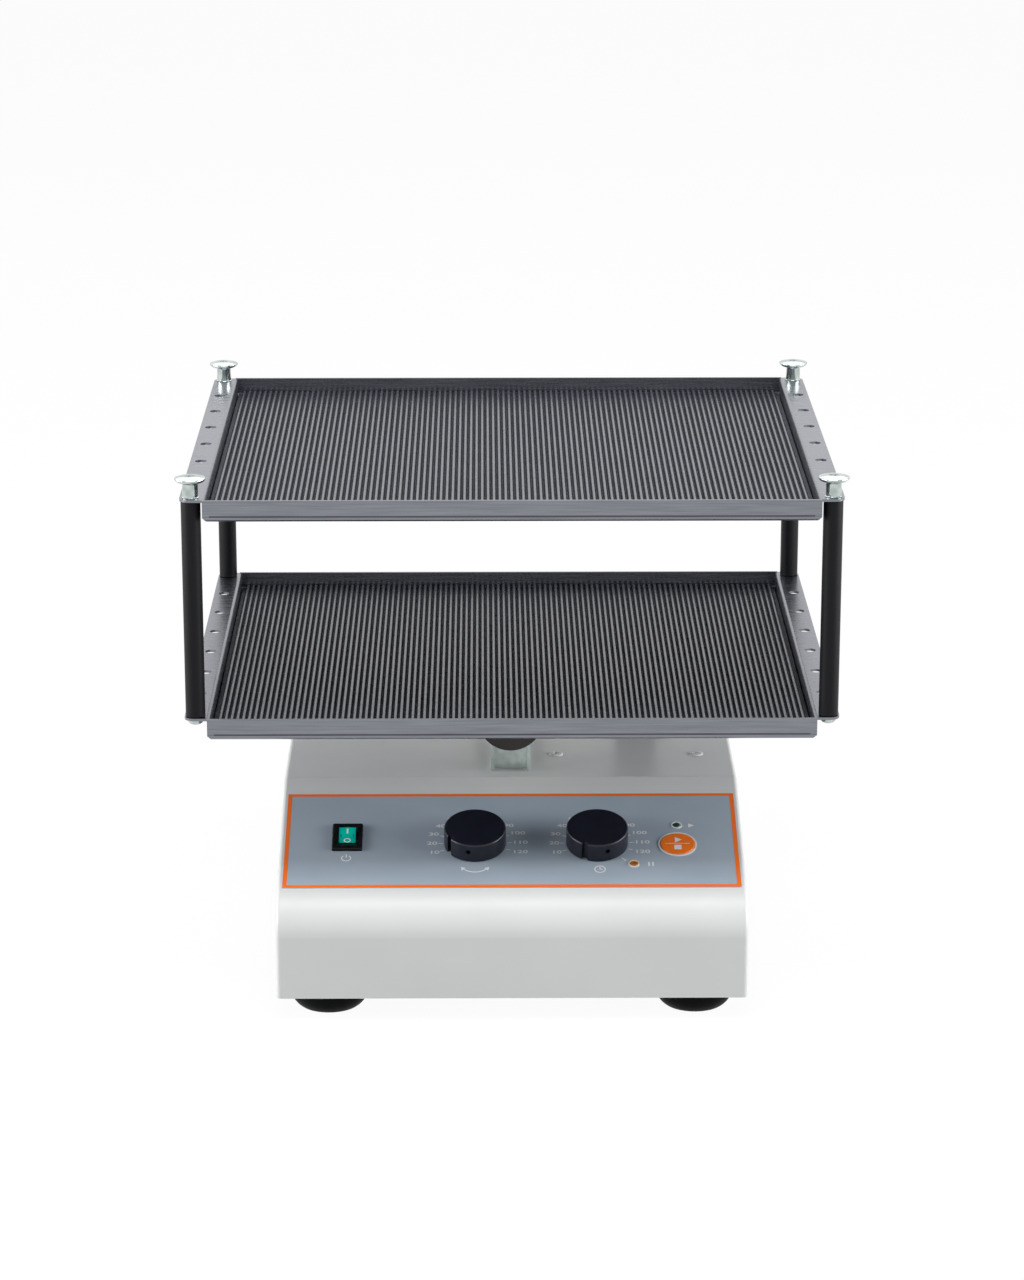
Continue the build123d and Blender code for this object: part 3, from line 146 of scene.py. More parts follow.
@dataclass(frozen=True)
class Finish:
    """What a surface is made of and how it was worked. Each kind of finish adds its own pattern."""

    name: str
    colour: str
    shade: str
    roughness: float
    metallic: float = 0.0
    ior: float = 1.5
    shine: float = 0.5

    def material(self) -> bpy.types.Material:
        """The Blender material, made once for each name.

        Returns:
            The material with its node tree.
        """
        made = bpy.data.materials.get(self.name)
        if made is None:
            made = bpy.data.materials.new(self.name)
            made.use_nodes = True
            tree = made.node_tree
            tree.nodes.clear()
            shader = add(tree, "ShaderNodeBsdfPrincipled")
            shader.inputs["Metallic"].default_value = self.metallic
            if self.metallic < 1:
                shader.inputs["IOR"].default_value = self.ior
                shader.inputs["Specular IOR Level"].default_value = self.shine
            self.pattern(tree, shader)
            add(tree, "ShaderNodeOutputMaterial", {"Surface": shader.outputs[0]})
        return made

    def pattern(self, tree: Tree, shader: Node) -> None:
        """Adds the finish's colour, roughness and relief to the shader."""
        raise NotImplementedError

    def noise(self, tree: Tree, size_mm: float, detail: float = 2.0, stretch: tuple = (1, 1, 1)) -> Socket:
        """A noise whose features are about size_mm across, stretched along an axis where asked.

        Args:
            tree: The node tree.
            size_mm: The size of a feature.
            detail: How many finer octaves it holds.
            stretch: Scale factors of the three axes; a small one makes long streaks.

        Returns:
            The noise's factor output.
        """
        place = add(tree, "ShaderNodeTexCoord")
        turn = add(tree, "ShaderNodeMapping", {"Vector": place.outputs["Object"], "Scale": stretch})
        links = {"Vector": turn.outputs[0], "Scale": 1 / (size_mm * MM), "Detail": detail}
        return add(tree, "ShaderNodeTexNoise", links).outputs["Fac"]

    def tint(self, tree: Tree, shader: Node, factor: Socket, low: float = 0.3) -> None:
        """Colours the shader between the shade and the colour.

        Args:
            tree: The node tree.
            shader: The shader that gets the colour.
            factor: The pattern.
            low: Up to where the shade is whole; the colour is whole from as far below 1.
        """
        mixed = ramp(tree, factor, (low, self.shade), (1 - low, self.colour))
        tree.links.new(mixed, shader.inputs["Base Color"])

    def gloss(self, tree: Tree, shader: Node, factor: Socket, less: float, more: float) -> None:
        """Lets the roughness wander with a pattern.

        Args:
            tree: The node tree.
            shader: The shader that gets the roughness.
            factor: The pattern.
            less: How far the roughness falls below its middle.
            more: How far it rises above it.
        """
        links = {"Value": factor, "From Min": NOISE_LOW, "From Max": NOISE_HIGH}
        links |= {"To Min": self.roughness - less, "To Max": self.roughness + more}
        rough = add(tree, "ShaderNodeMapRange", links)
        tree.links.new(rough.outputs["Result"], shader.inputs["Roughness"])

    def relief(self, tree: Tree, shader: Node, height: Socket, depth_mm: float, strength: float) -> None:
        """Adds a bump to the shader.

        Args:
            tree: The node tree.
            shader: The shader that gets the bump.
            height: The pattern of the relief.
            depth_mm: Its real depth.
            strength: How much of it shows.
        """
        links = {"Height": height, "Distance": depth_mm * MM, "Strength": strength}
        bump = add(tree, "ShaderNodeBump", links)
        tree.links.new(bump.outputs[0], shader.inputs["Normal"])


@dataclass(frozen=True)
class PowderCoat(Finish):
    """Polyester powder coat, sprayed and baked on steel: the eye sees soft reflections and orange peel."""

    cloud_mm: float = 60.0
    gloss_mm: float = 9.0
    peel_mm: float = 3.0
    peel_depth_mm: float = 0.012

    def pattern(self, tree: Tree, shader: Node) -> None:
        """Orange peel about 3 mm across, coarser than the real 1 mm so that it shows, and uneven gloss.

        Args:
            tree: The node tree.
            shader: The shader that gets the pattern.
        """
        self.tint(tree, shader, self.noise(tree, self.cloud_mm))
        self.gloss(tree, shader, self.noise(tree, self.gloss_mm), 0.03, 0.03)
        self.relief(tree, shader, self.noise(tree, self.peel_mm, 1.0), self.peel_depth_mm, 0.35)


@dataclass(frozen=True)
class BrushedStainless(Finish):
    """Stainless sheet with a brushed grain: the eye sees long fine streaks that blur what they mirror."""

    grain: Grain = Grain.ALONG_X
    streak_mm: float = 0.6
    streak_depth_mm: float = 0.002

    def pattern(self, tree: Tree, shader: Node) -> None:
        """Streaks of 0.6 mm, coarser than the real 0.1 mm grain, because that is too fine to show.

        Args:
            tree: The node tree.
            shader: The shader that gets the pattern.
        """
        streak = self.noise(tree, self.streak_mm, 3.0, self.grain.value)
        self.tint(tree, shader, streak)
        self.gloss(tree, shader, streak, 0.05, 0.05)
        self.relief(tree, shader, streak, self.streak_depth_mm, 0.25)


@dataclass(frozen=True)
class ZincPlate(Finish):
    """Bright zinc plate with a clear chromate: the eye sees a mirror with faint green and blue clouds."""

    cloud_mm: float = 5.0
    gloss_mm: float = 1.5

    def pattern(self, tree: Tree, shader: Node) -> None:
        """Clouds of 5 mm in the tint, and finer ones in the gloss."""
        self.tint(tree, shader, self.noise(tree, self.cloud_mm, 3.0), 0.35)
        self.gloss(tree, shader, self.noise(tree, self.gloss_mm), 0.03, 0.05)


@dataclass(frozen=True)
class TurnedSteel(Finish):
    """Machined steel or cast alloy, left bare: the eye sees a dull sheen with fine tool marks."""

    mark_mm: float = 0.5
    mark_depth_mm: float = 0.02
    grain: Grain = Grain.ALONG_X

    def pattern(self, tree: Tree, shader: Node) -> None:
        """Tool marks of 0.5 mm in the colour, the gloss and the relief.

        Args:
            tree: The node tree.
            shader: The shader that gets the pattern.
        """
        mark = self.noise(tree, self.mark_mm, 2.0, self.grain.value)
        self.tint(tree, shader, mark)
        self.gloss(tree, shader, mark, 0.06, 0.06)
        self.relief(tree, shader, mark, self.mark_depth_mm, 0.3)


@dataclass(frozen=True)
class BlackAnodised(Finish):
    """Drawn aluminium bar, anodised black: the eye sees a satin bar with fine lines along it."""

    grain: Grain = Grain.ALONG_Z
    line_mm: float = 0.4
    line_depth_mm: float = 0.01
    gloss_mm: float = 14.0

    def pattern(self, tree: Tree, shader: Node) -> None:
        """Drawing lines of 0.4 mm along the bar.

        Args:
            tree: The node tree.
            shader: The shader that gets the pattern.
        """
        line = self.noise(tree, self.line_mm, 2.0, self.grain.value)
        self.tint(tree, shader, line)
        self.gloss(tree, shader, self.noise(tree, self.gloss_mm), 0.04, 0.04)
        self.relief(tree, shader, line, self.line_depth_mm, 0.25)


@dataclass(frozen=True)
class MouldedRubber(Finish):
    """Nitrile rubber, moulded: the eye sees a soft dark skin with a trace of dust and bloom."""

    bloom_mm: float = 30.0
    gloss_mm: float = 6.0
    grit_mm: float = 0.7
    grit_depth_mm: float = 0.008
    skin: float = 0.0
    skin_blur: float = 0.22

    def pattern(self, tree: Tree, shader: Node) -> None:
        """Fine grit from the mould, and clouds of bloom 30 mm across.

        Args:
            tree: The node tree.
            shader: The shader that gets the pattern.
        """
        self.tint(tree, shader, self.noise(tree, self.bloom_mm, 3.0), 0.35)
        self.gloss(tree, shader, self.noise(tree, self.gloss_mm), 0.05, 0.05)
        shader.inputs["Coat Weight"].default_value = self.skin
        shader.inputs["Coat Roughness"].default_value = self.skin_blur
        self.relief(tree, shader, self.noise(tree, self.grit_mm), self.grit_depth_mm, 0.3)


@dataclass(frozen=True)
class MouldedPlastic(Finish):
    """A moulded plastic, spark-eroded or polished mould: the eye sees an even skin with a fine grain."""

    flow_mm: float = 8.0
    gloss_mm: float = 4.0
    grain_mm: float = 3.0
    grain_depth_mm: float = 0.01
    gleam: float = 0.0
    gleam_blur: float = 0.06

    def pattern(self, tree: Tree, shader: Node) -> None:
        """Mould grain in the relief, and flow marks 8 mm across in the tint.

        Args:
            tree: The node tree.
            shader: The shader that gets the pattern.
        """
        self.tint(tree, shader, self.noise(tree, self.flow_mm), 0.35)
        self.gloss(tree, shader, self.noise(tree, self.gloss_mm), 0.03, 0.03)
        shader.inputs["Coat Weight"].default_value = self.gleam
        shader.inputs["Coat Roughness"].default_value = self.gleam_blur
        self.relief(tree, shader, self.noise(tree, self.grain_mm), self.grain_depth_mm, 0.3)


@dataclass(frozen=True)
class PrintedFilm(Finish):
    """Polyester film, printed on its back and textured on its face: the eye sees a satin flat colour."""

    wave_mm: float = 40.0
    velvet_mm: float = 0.6
    velvet_depth_mm: float = 0.01

    def pattern(self, tree: Tree, shader: Node) -> None:
        """The film's velvet texture of 0.6 mm, and slow waves in the gloss.

        Args:
            tree: The node tree.
            shader: The shader that gets the pattern.
        """
        wave = self.noise(tree, self.wave_mm)
        self.tint(tree, shader, wave)
        self.gloss(tree, shader, wave, 0.03, 0.03)
        self.relief(tree, shader, self.noise(tree, self.velvet_mm), self.velvet_depth_mm, 0.4)


ENAMEL = PowderCoat("powder_coat_light_grey", "#DCDEDD", "#D8DAD9", 0.38, shine=0.35)
STAINLESS = BrushedStainless("brushed_stainless_sheet", "#898B93", "#777980", 0.27, metallic=1.0)
BLACK_COAT = PowderCoat("black_powder_coat", "#2F2A27", "#282422", 0.35, shine=0.4)
ANODISED = BlackAnodised("black_anodised_bar", "#0F1013", "#0A0B0D", 0.42, ior=1.45, shine=0.2)
ZINC = ZincPlate("bright_zinc_plate", "#C6CECC", "#A9B4B0", 0.12, metallic=1.0)
ZINC_SHEET = ZincPlate("zinc_plated_sheet", "#BFCAC5", "#ACB8B3", 0.34, metallic=1.0)
MACHINED = TurnedSteel("machined_steel", "#A9AAAB", "#8E8F91", 0.33, metallic=1.0)
CAST_ALLOY = TurnedSteel("die_cast_aluminium", "#A5A6A6", "#8F9090", 0.48, metallic=1.0, mark_mm=2.0)
BRONZE = TurnedSteel("sintered_bronze", "#A8794B", "#8A603A", 0.42, metallic=1.0)
NICKEL_BRASS = TurnedSteel("nickel_plated_brass", "#CFC5AE", "#B5AA92", 0.22, metallic=1.0)
LAMINATIONS = TurnedSteel("varnished_laminations", "#4A433D", "#38322E", 0.45, metallic=0.6)
MAT_RUBBER = MouldedRubber("matt_nitrile_groove", "#2B2D35", "#25272F", 0.62, shine=0.25)
MAT_CREST = MouldedRubber("burnished_nitrile_crest", "#2A2D38", "#22252E", 0.28, skin=0.3)
FOOT_RUBBER = MouldedRubber("moulded_rubber_feet", "#0C0D0F", "#08090A", 0.5, shine=0.06)
FILM = PrintedFilm("printed_polyester_film", "#A8B5C2", "#A2B0BD", 0.38, shine=0.3)
ORANGE_INK = PrintedFilm("orange_screen_ink", "#FF781C", "#FB7216", 0.42)
WHITE_INK = PrintedFilm("white_screen_ink", "#EDEFF0", "#E4E7E8", 0.42)
KNOB_PLASTIC = MouldedPlastic("moulded_black_phenolic", "#131624", "#0F111C", 0.34, ior=1.6, shine=0.3)
SWITCH_PLASTIC = MouldedPlastic("moulded_black_nylon", "#101214", "#0A0B0D", 0.28, shine=0.2)
GREEN_LENS = MouldedPlastic(
    "tinted_polycarbonate_green", "#03C9B4", "#02BAA5", 0.2, ior=1.58, shine=0.1, gleam=0.1
)
LED_GREEN = MouldedPlastic("led_epoxy_green", "#0B5A45", "#063D30", 0.12, ior=1.55, gleam=0.8)
LED_AMBER = MouldedPlastic("led_epoxy_amber", "#9A5A1C", "#6E3D10", 0.12, ior=1.55, gleam=0.8)
ORANGE_CAP = MouldedPlastic("moulded_orange_cap", "#FF801C", "#FC7A16", 0.34)
PEACH_INK = PrintedFilm("pale_orange_screen_ink", "#F6CFA4", "#F2C799", 0.42)
# A darker steel tone, painted shadow for the scored groove above each tray's bottom bend.
FOLD_SHADOW_PAINT = BrushedStainless("painted_shadow_steel", "#56575C", "#4A4B50", 0.45, metallic=1.0)
BOARD = MouldedPlastic("glass_epoxy_board", "#1C5A35", "#15472A", 0.35)
INLET_PLASTIC = MouldedPlastic("moulded_black_inlet", "#1A1B1D", "#141517", 0.32, shine=0.3)

DRESS = {
    ENAMEL: ["housing_shell", "base_plate", "top_screws"],
    STAINLESS: ["lower_tray", "upper_tray"],
    BLACK_COAT: ["platform_saddle", "drive_arm"],
    ANODISED: [f"post_{corner}" for corner in CORNERS],
    ZINC: ["post_screws", "pedestal_screws", "stud_nuts", "foot_screws", "base_screws", "gearbox_screws",
           "yoke_screws", "inlet_screws"] + [f"thumb_screw_{corner}" for corner in CORNERS],
    ZINC_SHEET: ["pivot_pedestal", "drive_bracket"],
    MACHINED: ["pivot_shaft", "shaft_collars", "yoke_plate", "output_shaft", "crank_disc", "crank_pin",
               "crank_roller", "drive_motor", "speed_shaft", "time_shaft", "potentiometers"],
    CAST_ALLOY: ["gearbox"],
    BRONZE: ["pivot_bushes"],
    NICKEL_BRASS: ["board_pillars", "inlet_pins"],
    LAMINATIONS: ["transformer"],
    MAT_RUBBER: ["lower_mat", "upper_mat"],
    FOOT_RUBBER: ["rubber_feet", "slot_grommet"],
    FILM: ["panel_overlay"],
    WHITE_INK: ["led_rings", "start_button_ring"],
    KNOB_PLASTIC: ["speed_knob", "time_knob"],
    SWITCH_PLASTIC: ["switch_frame", "tact_switch"],
    GREEN_LENS: ["power_rocker"],
    LED_GREEN: ["run_led"],
    LED_AMBER: ["hold_led"],
    ORANGE_CAP: ["start_button"],
    BOARD: ["control_board", "supply_board"],
    INLET_PLASTIC: ["mains_inlet", "fuse_drawer"],
}


def dress_frame() -> None:
    """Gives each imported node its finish."""
    for finish, names in DRESS.items():
        for name in names:
            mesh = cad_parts[name].data
            mesh.materials.clear()
            mesh.materials.append(finish.material())
            LOG.info("%s: %s", name, finish.name)


# ---------------- mesh making
def piece(name: str, mesh: BMesh, finish: Finish, body: Body | str, sharp: float = SHARP_DEG) -> Object:
    """Makes a shown object from a bmesh in the row frame, in millimetres.

    Args:
        name: The piece's name.
        mesh: The shape, which is freed.
        finish: Its material.
        body: The body that it rides on.
        sharp: Edges bent by more than this many degrees stay sharp.

    Returns:
        The new object.
    """
    bmesh.ops.remove_doubles(mesh, verts=mesh.verts, dist=1e-5)
    bmesh.ops.recalc_face_normals(mesh, faces=mesh.faces)
    bmesh.ops.scale(mesh, vec=(MM, MM, MM), verts=mesh.verts)
    data = bpy.data.meshes.new(name)
    mesh.to_mesh(data)
    mesh.free()
    for polygon in data.polygons:
        polygon.use_smooth = True
    data.set_sharp_from_angle(angle=math.radians(sharp))
    data.materials.append(finish.material())
    made = bpy.data.objects.new(name, data)
    bpy.context.scene.collection.objects.link(made)
    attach(made, body.value if isinstance(body, Body) else body)
    LOG.info("%s: %d faces", name, len(data.polygons))
    return made


def lathe(mesh: BMesh, profile: Profile, place: Matrix, steps: int = 64) -> None:
    """Turns a profile about the local z axis and adds it to a bmesh.

    Args:
        mesh: The bmesh that gets the faces.
        profile: Radius and height of each point, from end to end; a radius may be a function of the angle.
        place: Where the local origin and axes are.
        steps: Points round the turn.
    """
    turn = [2 * math.pi * i / steps for i in range(steps)]
    rings = []
    for radius, height in profile:
        if radius == 0:
            rings.append([mesh.verts.new(place @ Vector((0, 0, height)))])
            continue
        reach = [radius(a) if callable(radius) else radius for a in turn]
        points = [Vector((r * math.cos(a), r * math.sin(a), height)) for r, a in zip(reach, turn)]
        rings.append([mesh.verts.new(place @ point) for point in points])
    for low, high in zip(rings, rings[1:]):
        for i in range(steps):
            j = (i + 1) % steps
            corners = [low[i % len(low)], low[j % len(low)], high[j % len(high)], high[i % len(high)]]
            unique = list(dict.fromkeys(corners))
            if len(unique) > 2:
                mesh.faces.new(unique)


def cross_outline(reach: float) -> Callable[[float], float]:
    """The outline of a cross, as its distance from the axis at each angle.

    Args:
        reach: How far each arm goes from the axis.

    Returns:
        A function of the angle in radians.
    """
    half_arm, least_sine = 0.26, 0.05

    def radius(angle: float) -> float:
        """How far the outline is from the axis at an angle."""
        off = (angle + math.pi / 4) % (math.pi / 2) - math.pi / 4
        return reach * min(1 / math.cos(off), half_arm / max(abs(math.sin(off)), least_sine))

    return radius


def cross_recess(reach: float, top: float, depth: float) -> Profile:
    """The rings of a cross recess in a screw's head, from its rim at the given height to its floor.

    Args:
        reach: How far each arm goes from the axis.
        top: The height of the head's face.
        depth: How deep the recess is.

    Returns:
        Profile points for lathe.
    """
    rings = ((1.0, 0.0), (0.9, 0.25), (0.55, 1.0))
    walls = [(cross_outline(share * reach), top - fall * depth) for share, fall in rings]
    return walls + [(0, top - depth)]


def arc(centre: Point, radius: float, start: float, end: float, steps: int) -> Points:
    """Points on an arc, with its angles in degrees."""
    angles = [math.radians(start + (end - start) * i / steps) for i in range(steps + 1)]
    return [(centre[0] + radius * math.cos(a), centre[1] + radius * math.sin(a)) for a in angles]


def bow(centre: Point, outer: float, inner: float, start: float, end: float, steps: int) -> Points:
    """The outline of a bent printed line, with its angles in degrees."""
    return arc(centre, outer, start, end, steps) + arc(centre, inner, start, end, steps)[::-1]


def circle(radius: float, steps: int) -> Points:
    """Points round a circle."""
    return arc((0, 0), radius, 0, 360, steps)[:-1]


def oblong(left: float, right: float, low: float, high: float) -> Points:
    """The four corners of a rectangle."""
    return [(left, low), (right, low), (right, high), (left, high)]


def stroke(start: Point, end: Point, width: float) -> Points:
    """The outline of a straight printed line.

    Args:
        start: The middle of its one end.
        end: The middle of its other end.
        width: How broad it is.

    Returns:
        Its four corners.
    """
    along = Vector(end) - Vector(start)
    side = Vector((-along.y, along.x)).normalized() * width / 2
    return [tuple(Vector(p) + s) for p, s in ((start, side), (start, -side), (end, -side), (end, side))]


def slab(mesh: BMesh, outline: Points, low: float, high: float, place: Matrix) -> None:
    """Adds a flat plate to a bmesh.

    Args:
        mesh: The bmesh that gets the faces.
        outline: The plate's outline.
        low: The local height of its underside.
        high: The local height of its top.
        place: Where the local origin and axes are.
    """
    bottom = [mesh.verts.new(place @ Vector((x, y, low))) for x, y in outline]
    top = [mesh.verts.new(place @ Vector((x, y, high))) for x, y in outline]
    mesh.faces.new(bottom[::-1])
    mesh.faces.new(top)
    for i in range(len(outline)):
        j = (i + 1) % len(outline)
        mesh.faces.new((bottom[i], bottom[j], top[j], top[i]))


def ring(mesh: BMesh, outer: Points, inner: Points, low: float, high: float, place: Matrix) -> None:
    """Adds a closed band to a bmesh.

    Args:
        mesh: The bmesh that gets the faces.
        outer: The band's outer outline.
        inner: Its inner outline, with the same number of points.
        low: The local height of its underside.
        high: The local height of its top.
        place: Where the local origin and axes are.
    """
    loops = [
        [mesh.verts.new(place @ Vector((x, y, z))) for x, y in line]
        for line, z in ((outer, low), (outer, high), (inner, high), (inner, low))
    ]
    for a, b in zip(loops, loops[1:] + loops[:1]):
        for i in range(len(a)):
            j = (i + 1) % len(a)
            mesh.faces.new((a[i], a[j], b[j], b[i]))


def tilt(degrees: float) -> Matrix:
    """A turn about the local x axis."""
    return Matrix.Rotation(math.radians(degrees), 4, "X")


# ---------------- platform
@dataclass
class RibbedMat:
    """A rubber mat with rounded ribs from front to back, which lies on a tray's floor.

    Its side edges are chamfered below by under_w and under_h. Its ends slope in above end_lift over the
    base, and the crests are worn bright down to worn_h under their tops.
    """

    name: str
    floor_z: float
    width: float = 351.8
    depth: float = 315.8
    base: float = 1.6
    rib_height: float = 2.0
    pitch: float = 3.445
    crest: float = 0.5
    valley: float = 0.3
    under_h: float = 1.2
    under_w: float = 2.0
    end_lift: float = 1.2
    end_slope: float = 0.5
    worn_h: float = 0.3

    def profile(self) -> Points:
        """The upper line across the mat: ribs with narrow round crests, and deep valleys between them.

        Returns:
            Places across the mat, each with its height above the floor.
        """
        ribs = int((self.width - self.pitch) / self.pitch)
        foot, top = (self.pitch - self.valley) / 2, self.base + self.rib_height
        side = [(foot, self.base), (foot - 0.28, self.base + 0.62), (self.crest + 0.42, top - 0.62)]
        side += [(self.crest + 0.2, top - 0.26), (self.crest, top - 0.1), (self.crest * 0.5, top - 0.02)]
        line = [(-self.width / 2, self.base)]
        for i in range(ribs):
            middle = (i - (ribs - 1) / 2) * self.pitch
            line += [(middle - x, z) for x, z in side] + [(middle, top)]
            line += [(middle + x, z) for x, z in side[::-1]]
        return line + [(self.width / 2, self.base)]

    def inset(self, z: float) -> float:
        """How far the mat's front and back lie inside its depth at a height above the floor."""
        under = self.under_w - z * self.under_w / self.under_h
        return max(0.0, under if z < self.under_h else self.end_slope * (z - self.base - self.end_lift))

    def build(self) -> Object:
        """Makes the mat in place of its solid.

        Returns:
            The mat.
        """
        mesh = bmesh.new()
        half, sole = self.width / 2, self.width / 2 - self.under_w
        outline = self.profile() + [(half, self.under_h), (sole, 0), (-sole, 0), (-half, self.under_h)]
        ends = []
        for side in (-1, 1):
            y = side * self.depth / 2
            row = [mesh.verts.new((x, y - side * self.inset(z), self.floor_z + z)) for x, z in outline]
            ends.append(row)
            mesh.faces.new(row)
        for i in range(len(outline)):
            j = (i + 1) % len(outline)
            mesh.faces.new((ends[0][i], ends[0][j], ends[1][j], ends[1][i]))
        made = piece(f"{self.name}_ribs", mesh, MAT_RUBBER, Body.PLATFORM)
        made.data.materials.append(MAT_CREST.material())
        crest_z = (self.floor_z + self.base + self.rib_height - self.worn_h) * MM
        for polygon in made.data.polygons:
            if polygon.center.z > crest_z and polygon.normal.z > 0.5:
                polygon.material_index = 1
        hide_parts(self.name)
        return made


@dataclass
class PaintedFoldShadow:
    """A dark steel strip on the wall, painted shadow that stands in for the shade in the scored groove above
    the bottom bend of a tray's front and back walls.
    """

    tray: str
    floor_z: float
    half_width: float = 174.0
    half_depth: float = 160.0
    sunk: float = 0.2
    proud: float = 0.04
    rise: float = 3.5
    width: float = 1.0

    def build(self) -> Object:
        """Lays the painted shadow line along both walls.

        Returns:
            The two lines, as one piece.
        """
        mesh = bmesh.new()
        middle = self.floor_z + self.rise
        for side in (-1, 1):
            near, far = sorted((side * (self.half_depth - self.sunk), side * (self.half_depth + self.proud)))
            outline = oblong(-self.half_width, self.half_width, near, far)
            slab(mesh, outline, middle - self.width / 2, middle + self.width / 2, Matrix.Identity(4))
        return piece(f"{self.tray}_painted_fold_shadow", mesh, FOLD_SHADOW_PAINT, Body.PLATFORM)


@dataclass
class CrossHeads:
    """Pan head screws with cross recesses, and their hexagon nuts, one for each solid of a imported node."""

    node: str
    finish: Finish
    slot: str
    body: Body
    head_h: float
    shank_r: float
    out: tuple[int, int, int] = (0, 0, -1)
    nut_h: float = 5.0
    steps: int = 48

    def nut_profile(self, half_flat: float, height: float) -> Profile:
        """The section of a hexagon nut about its middle, from its bore round its flats and back.

        Args:
            half_flat: Half the width across its flats.
            height: How tall it is.

        Returns:
            Profile points for lathe.
        """

        def flats(angle: float) -> float:
            """How far the hexagon's outline is from the axis at an angle."""
            return half_flat / math.cos(angle % (math.pi / 3) - math.pi / 6)

        bore, half = self.shank_r + 0.02, height / 2
        return [(bore, -half), (flats, -half), (flats, half), (bore, half), (bore, -half)]

    def solids(self) -> list[tuple[Vector, Vector]]:
        """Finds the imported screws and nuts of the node.

        Returns:
            The lowest and highest corners of each, in millimetres.
        """
        mesh = bmesh.new()
        mesh.from_mesh(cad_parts[self.node].data)
        bmesh.ops.remove_doubles(mesh, verts=mesh.verts, dist=1e-6)
        left, boxes = set(mesh.verts), []
        while left:
            group, front = set(), [min(left, key=lambda v: tuple(round(c, 5) for c in v.co))]
            while front:
                vert = front.pop()
                if vert not in group:
                    group.add(vert)
                    front += [edge.other_vert(vert) for edge in vert.link_edges]
            left -= group
            ends = [Vector([pick(v.co[i] for v in group) for i in range(3)]) / MM for pick in (min, max)]
            boxes.append(tuple(ends))
        mesh.free()
        return boxes

    def profile(self, head_r: float, length: float) -> Profile:
        """From the shank's tip to the recess in the head, with the head's seat at height 0.

        Args:
            head_r: The head's radius.
            length: The whole length of the screw.

        Returns:
            Profile points for lathe.
        """
        tall, shank = self.head_h, self.shank_r
        line = [(0, tall - length), (shank - 0.3, tall - length), (shank, tall - length + 0.4), (shank, 0)]
        dome = ((0.98, 0.4), (0.88, 0.74), (0.72, 0.94), (0.62, 1.0))
        line += [(head_r - 0.1, 0), (head_r, 0.12 * tall)]
        line += [(head_r * out, up * tall) for out, up in dome]
        return line + cross_recess(head_r * 0.54, tall, 0.75 * tall)

    def build(self) -> Object:
        """Makes all the node's screws and nuts in its place.

        Returns:
            The screws and nuts, as one piece.
        """
        mesh = bmesh.new()
        out = Vector(self.out)
        turn = out.to_track_quat("Z", "Y").to_matrix().to_4x4()
        for low, high in self.solids():
            size, middle = high - low, (low + high) / 2
            length = abs(size.dot(out))
            across = [size[i] for i in range(3) if not self.out[i]]
            if length < self.nut_h:
                profile, place = self.nut_profile(min(across) / 2, length), middle
            else:
                seat = middle + out * (length / 2 - self.head_h)
                profile, place = self.profile(max(across) / 2, length), seat
            lathe(mesh, profile, Matrix.Translation(place) @ turn, self.steps)
        made = piece(f"{self.node}_cross_heads", mesh, self.finish, self.body, FASTENER_SHARP_DEG)
        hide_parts(self.node)
        return made


@dataclass
class ThumbScrew:
    """A plated thumb screw with a flared head and a cross recess, one on each post."""

    corner: str
    rim_z: float = UPPER_RIM
    post_x: float = 185.0
    post_y: float = 152.0
    head_r: float = 9.1
    neck_r: float = 4.5
    neck_h: float = 8.6

    def profile(self) -> Profile:
        """From the shank's tip up to the crown: a collar, a straight neck, a dished head and its recess.

        Returns:
            Profile points for lathe, with the rim's top at height 0.
        """
        neck, head, rise = self.neck_r, self.head_r, self.neck_h
        line = [(0, -21.5), (2.4, -21.5), (2.95, -20.9), (2.95, 0.0)]
        line += [(4.9, 0.0), (5.0, 0.15), (5.0, 0.5), (neck, 0.7)]
        line += [(neck, 2.0), (neck, rise - 0.5), (neck + 0.15, rise - 0.1), (neck + 0.6, rise + 0.2)]
        flare = ((2.6, 0.5), (1.5, 0.95), (0.8, 1.45), (0.35, 1.95), (0.1, 2.4), (0.0, 2.8))
        crown = ((0.12, 3.1), (0.45, 3.3), (1.0, 3.45), (2.2, 3.7))
        line += [(head - inward, rise + up) for inward, up in flare + crown]
        line += [(6.0, rise + 3.95), (4.2, rise + 4.22), (3.4, rise + 4.3)]
        return line + cross_recess(3.0, rise + 4.3, 2.6)

    def build(self) -> Object:
        """Makes the screw in place of its solid.

        Returns:
            The screw.
        """
        side_x, side_y = CORNERS[self.corner]
        place = Matrix.Translation((side_x * self.post_x, side_y * self.post_y, self.rim_z))
        mesh = bmesh.new()
        lathe(mesh, self.profile(), place)
        name = f"thumb_screw_{self.corner}_turned"
        made = piece(name, mesh, ZINC, f"thumb_{self.corner}", FASTENER_SHARP_DEG)
        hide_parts(f"thumb_screw_{self.corner}")
        return made


# ---------------- control panel
@dataclass(frozen=True)
class PanelPlane:
    """The sloping panel: u across, v down the slope from the bend, h out of the sheet, in millimetres."""

    bend_y: float = -31.0
    top_z: float = 111.0
    slope: float = 17.5

    def at(self, u: float, v: float, h: float = 0.0) -> Matrix:
        """The place and axes at a point: x across, y up the slope, z out."""
        base = Matrix.Translation((0, self.bend_y, self.top_z)) @ tilt(self.slope)
        return base @ Matrix.Translation((u, -v, h))


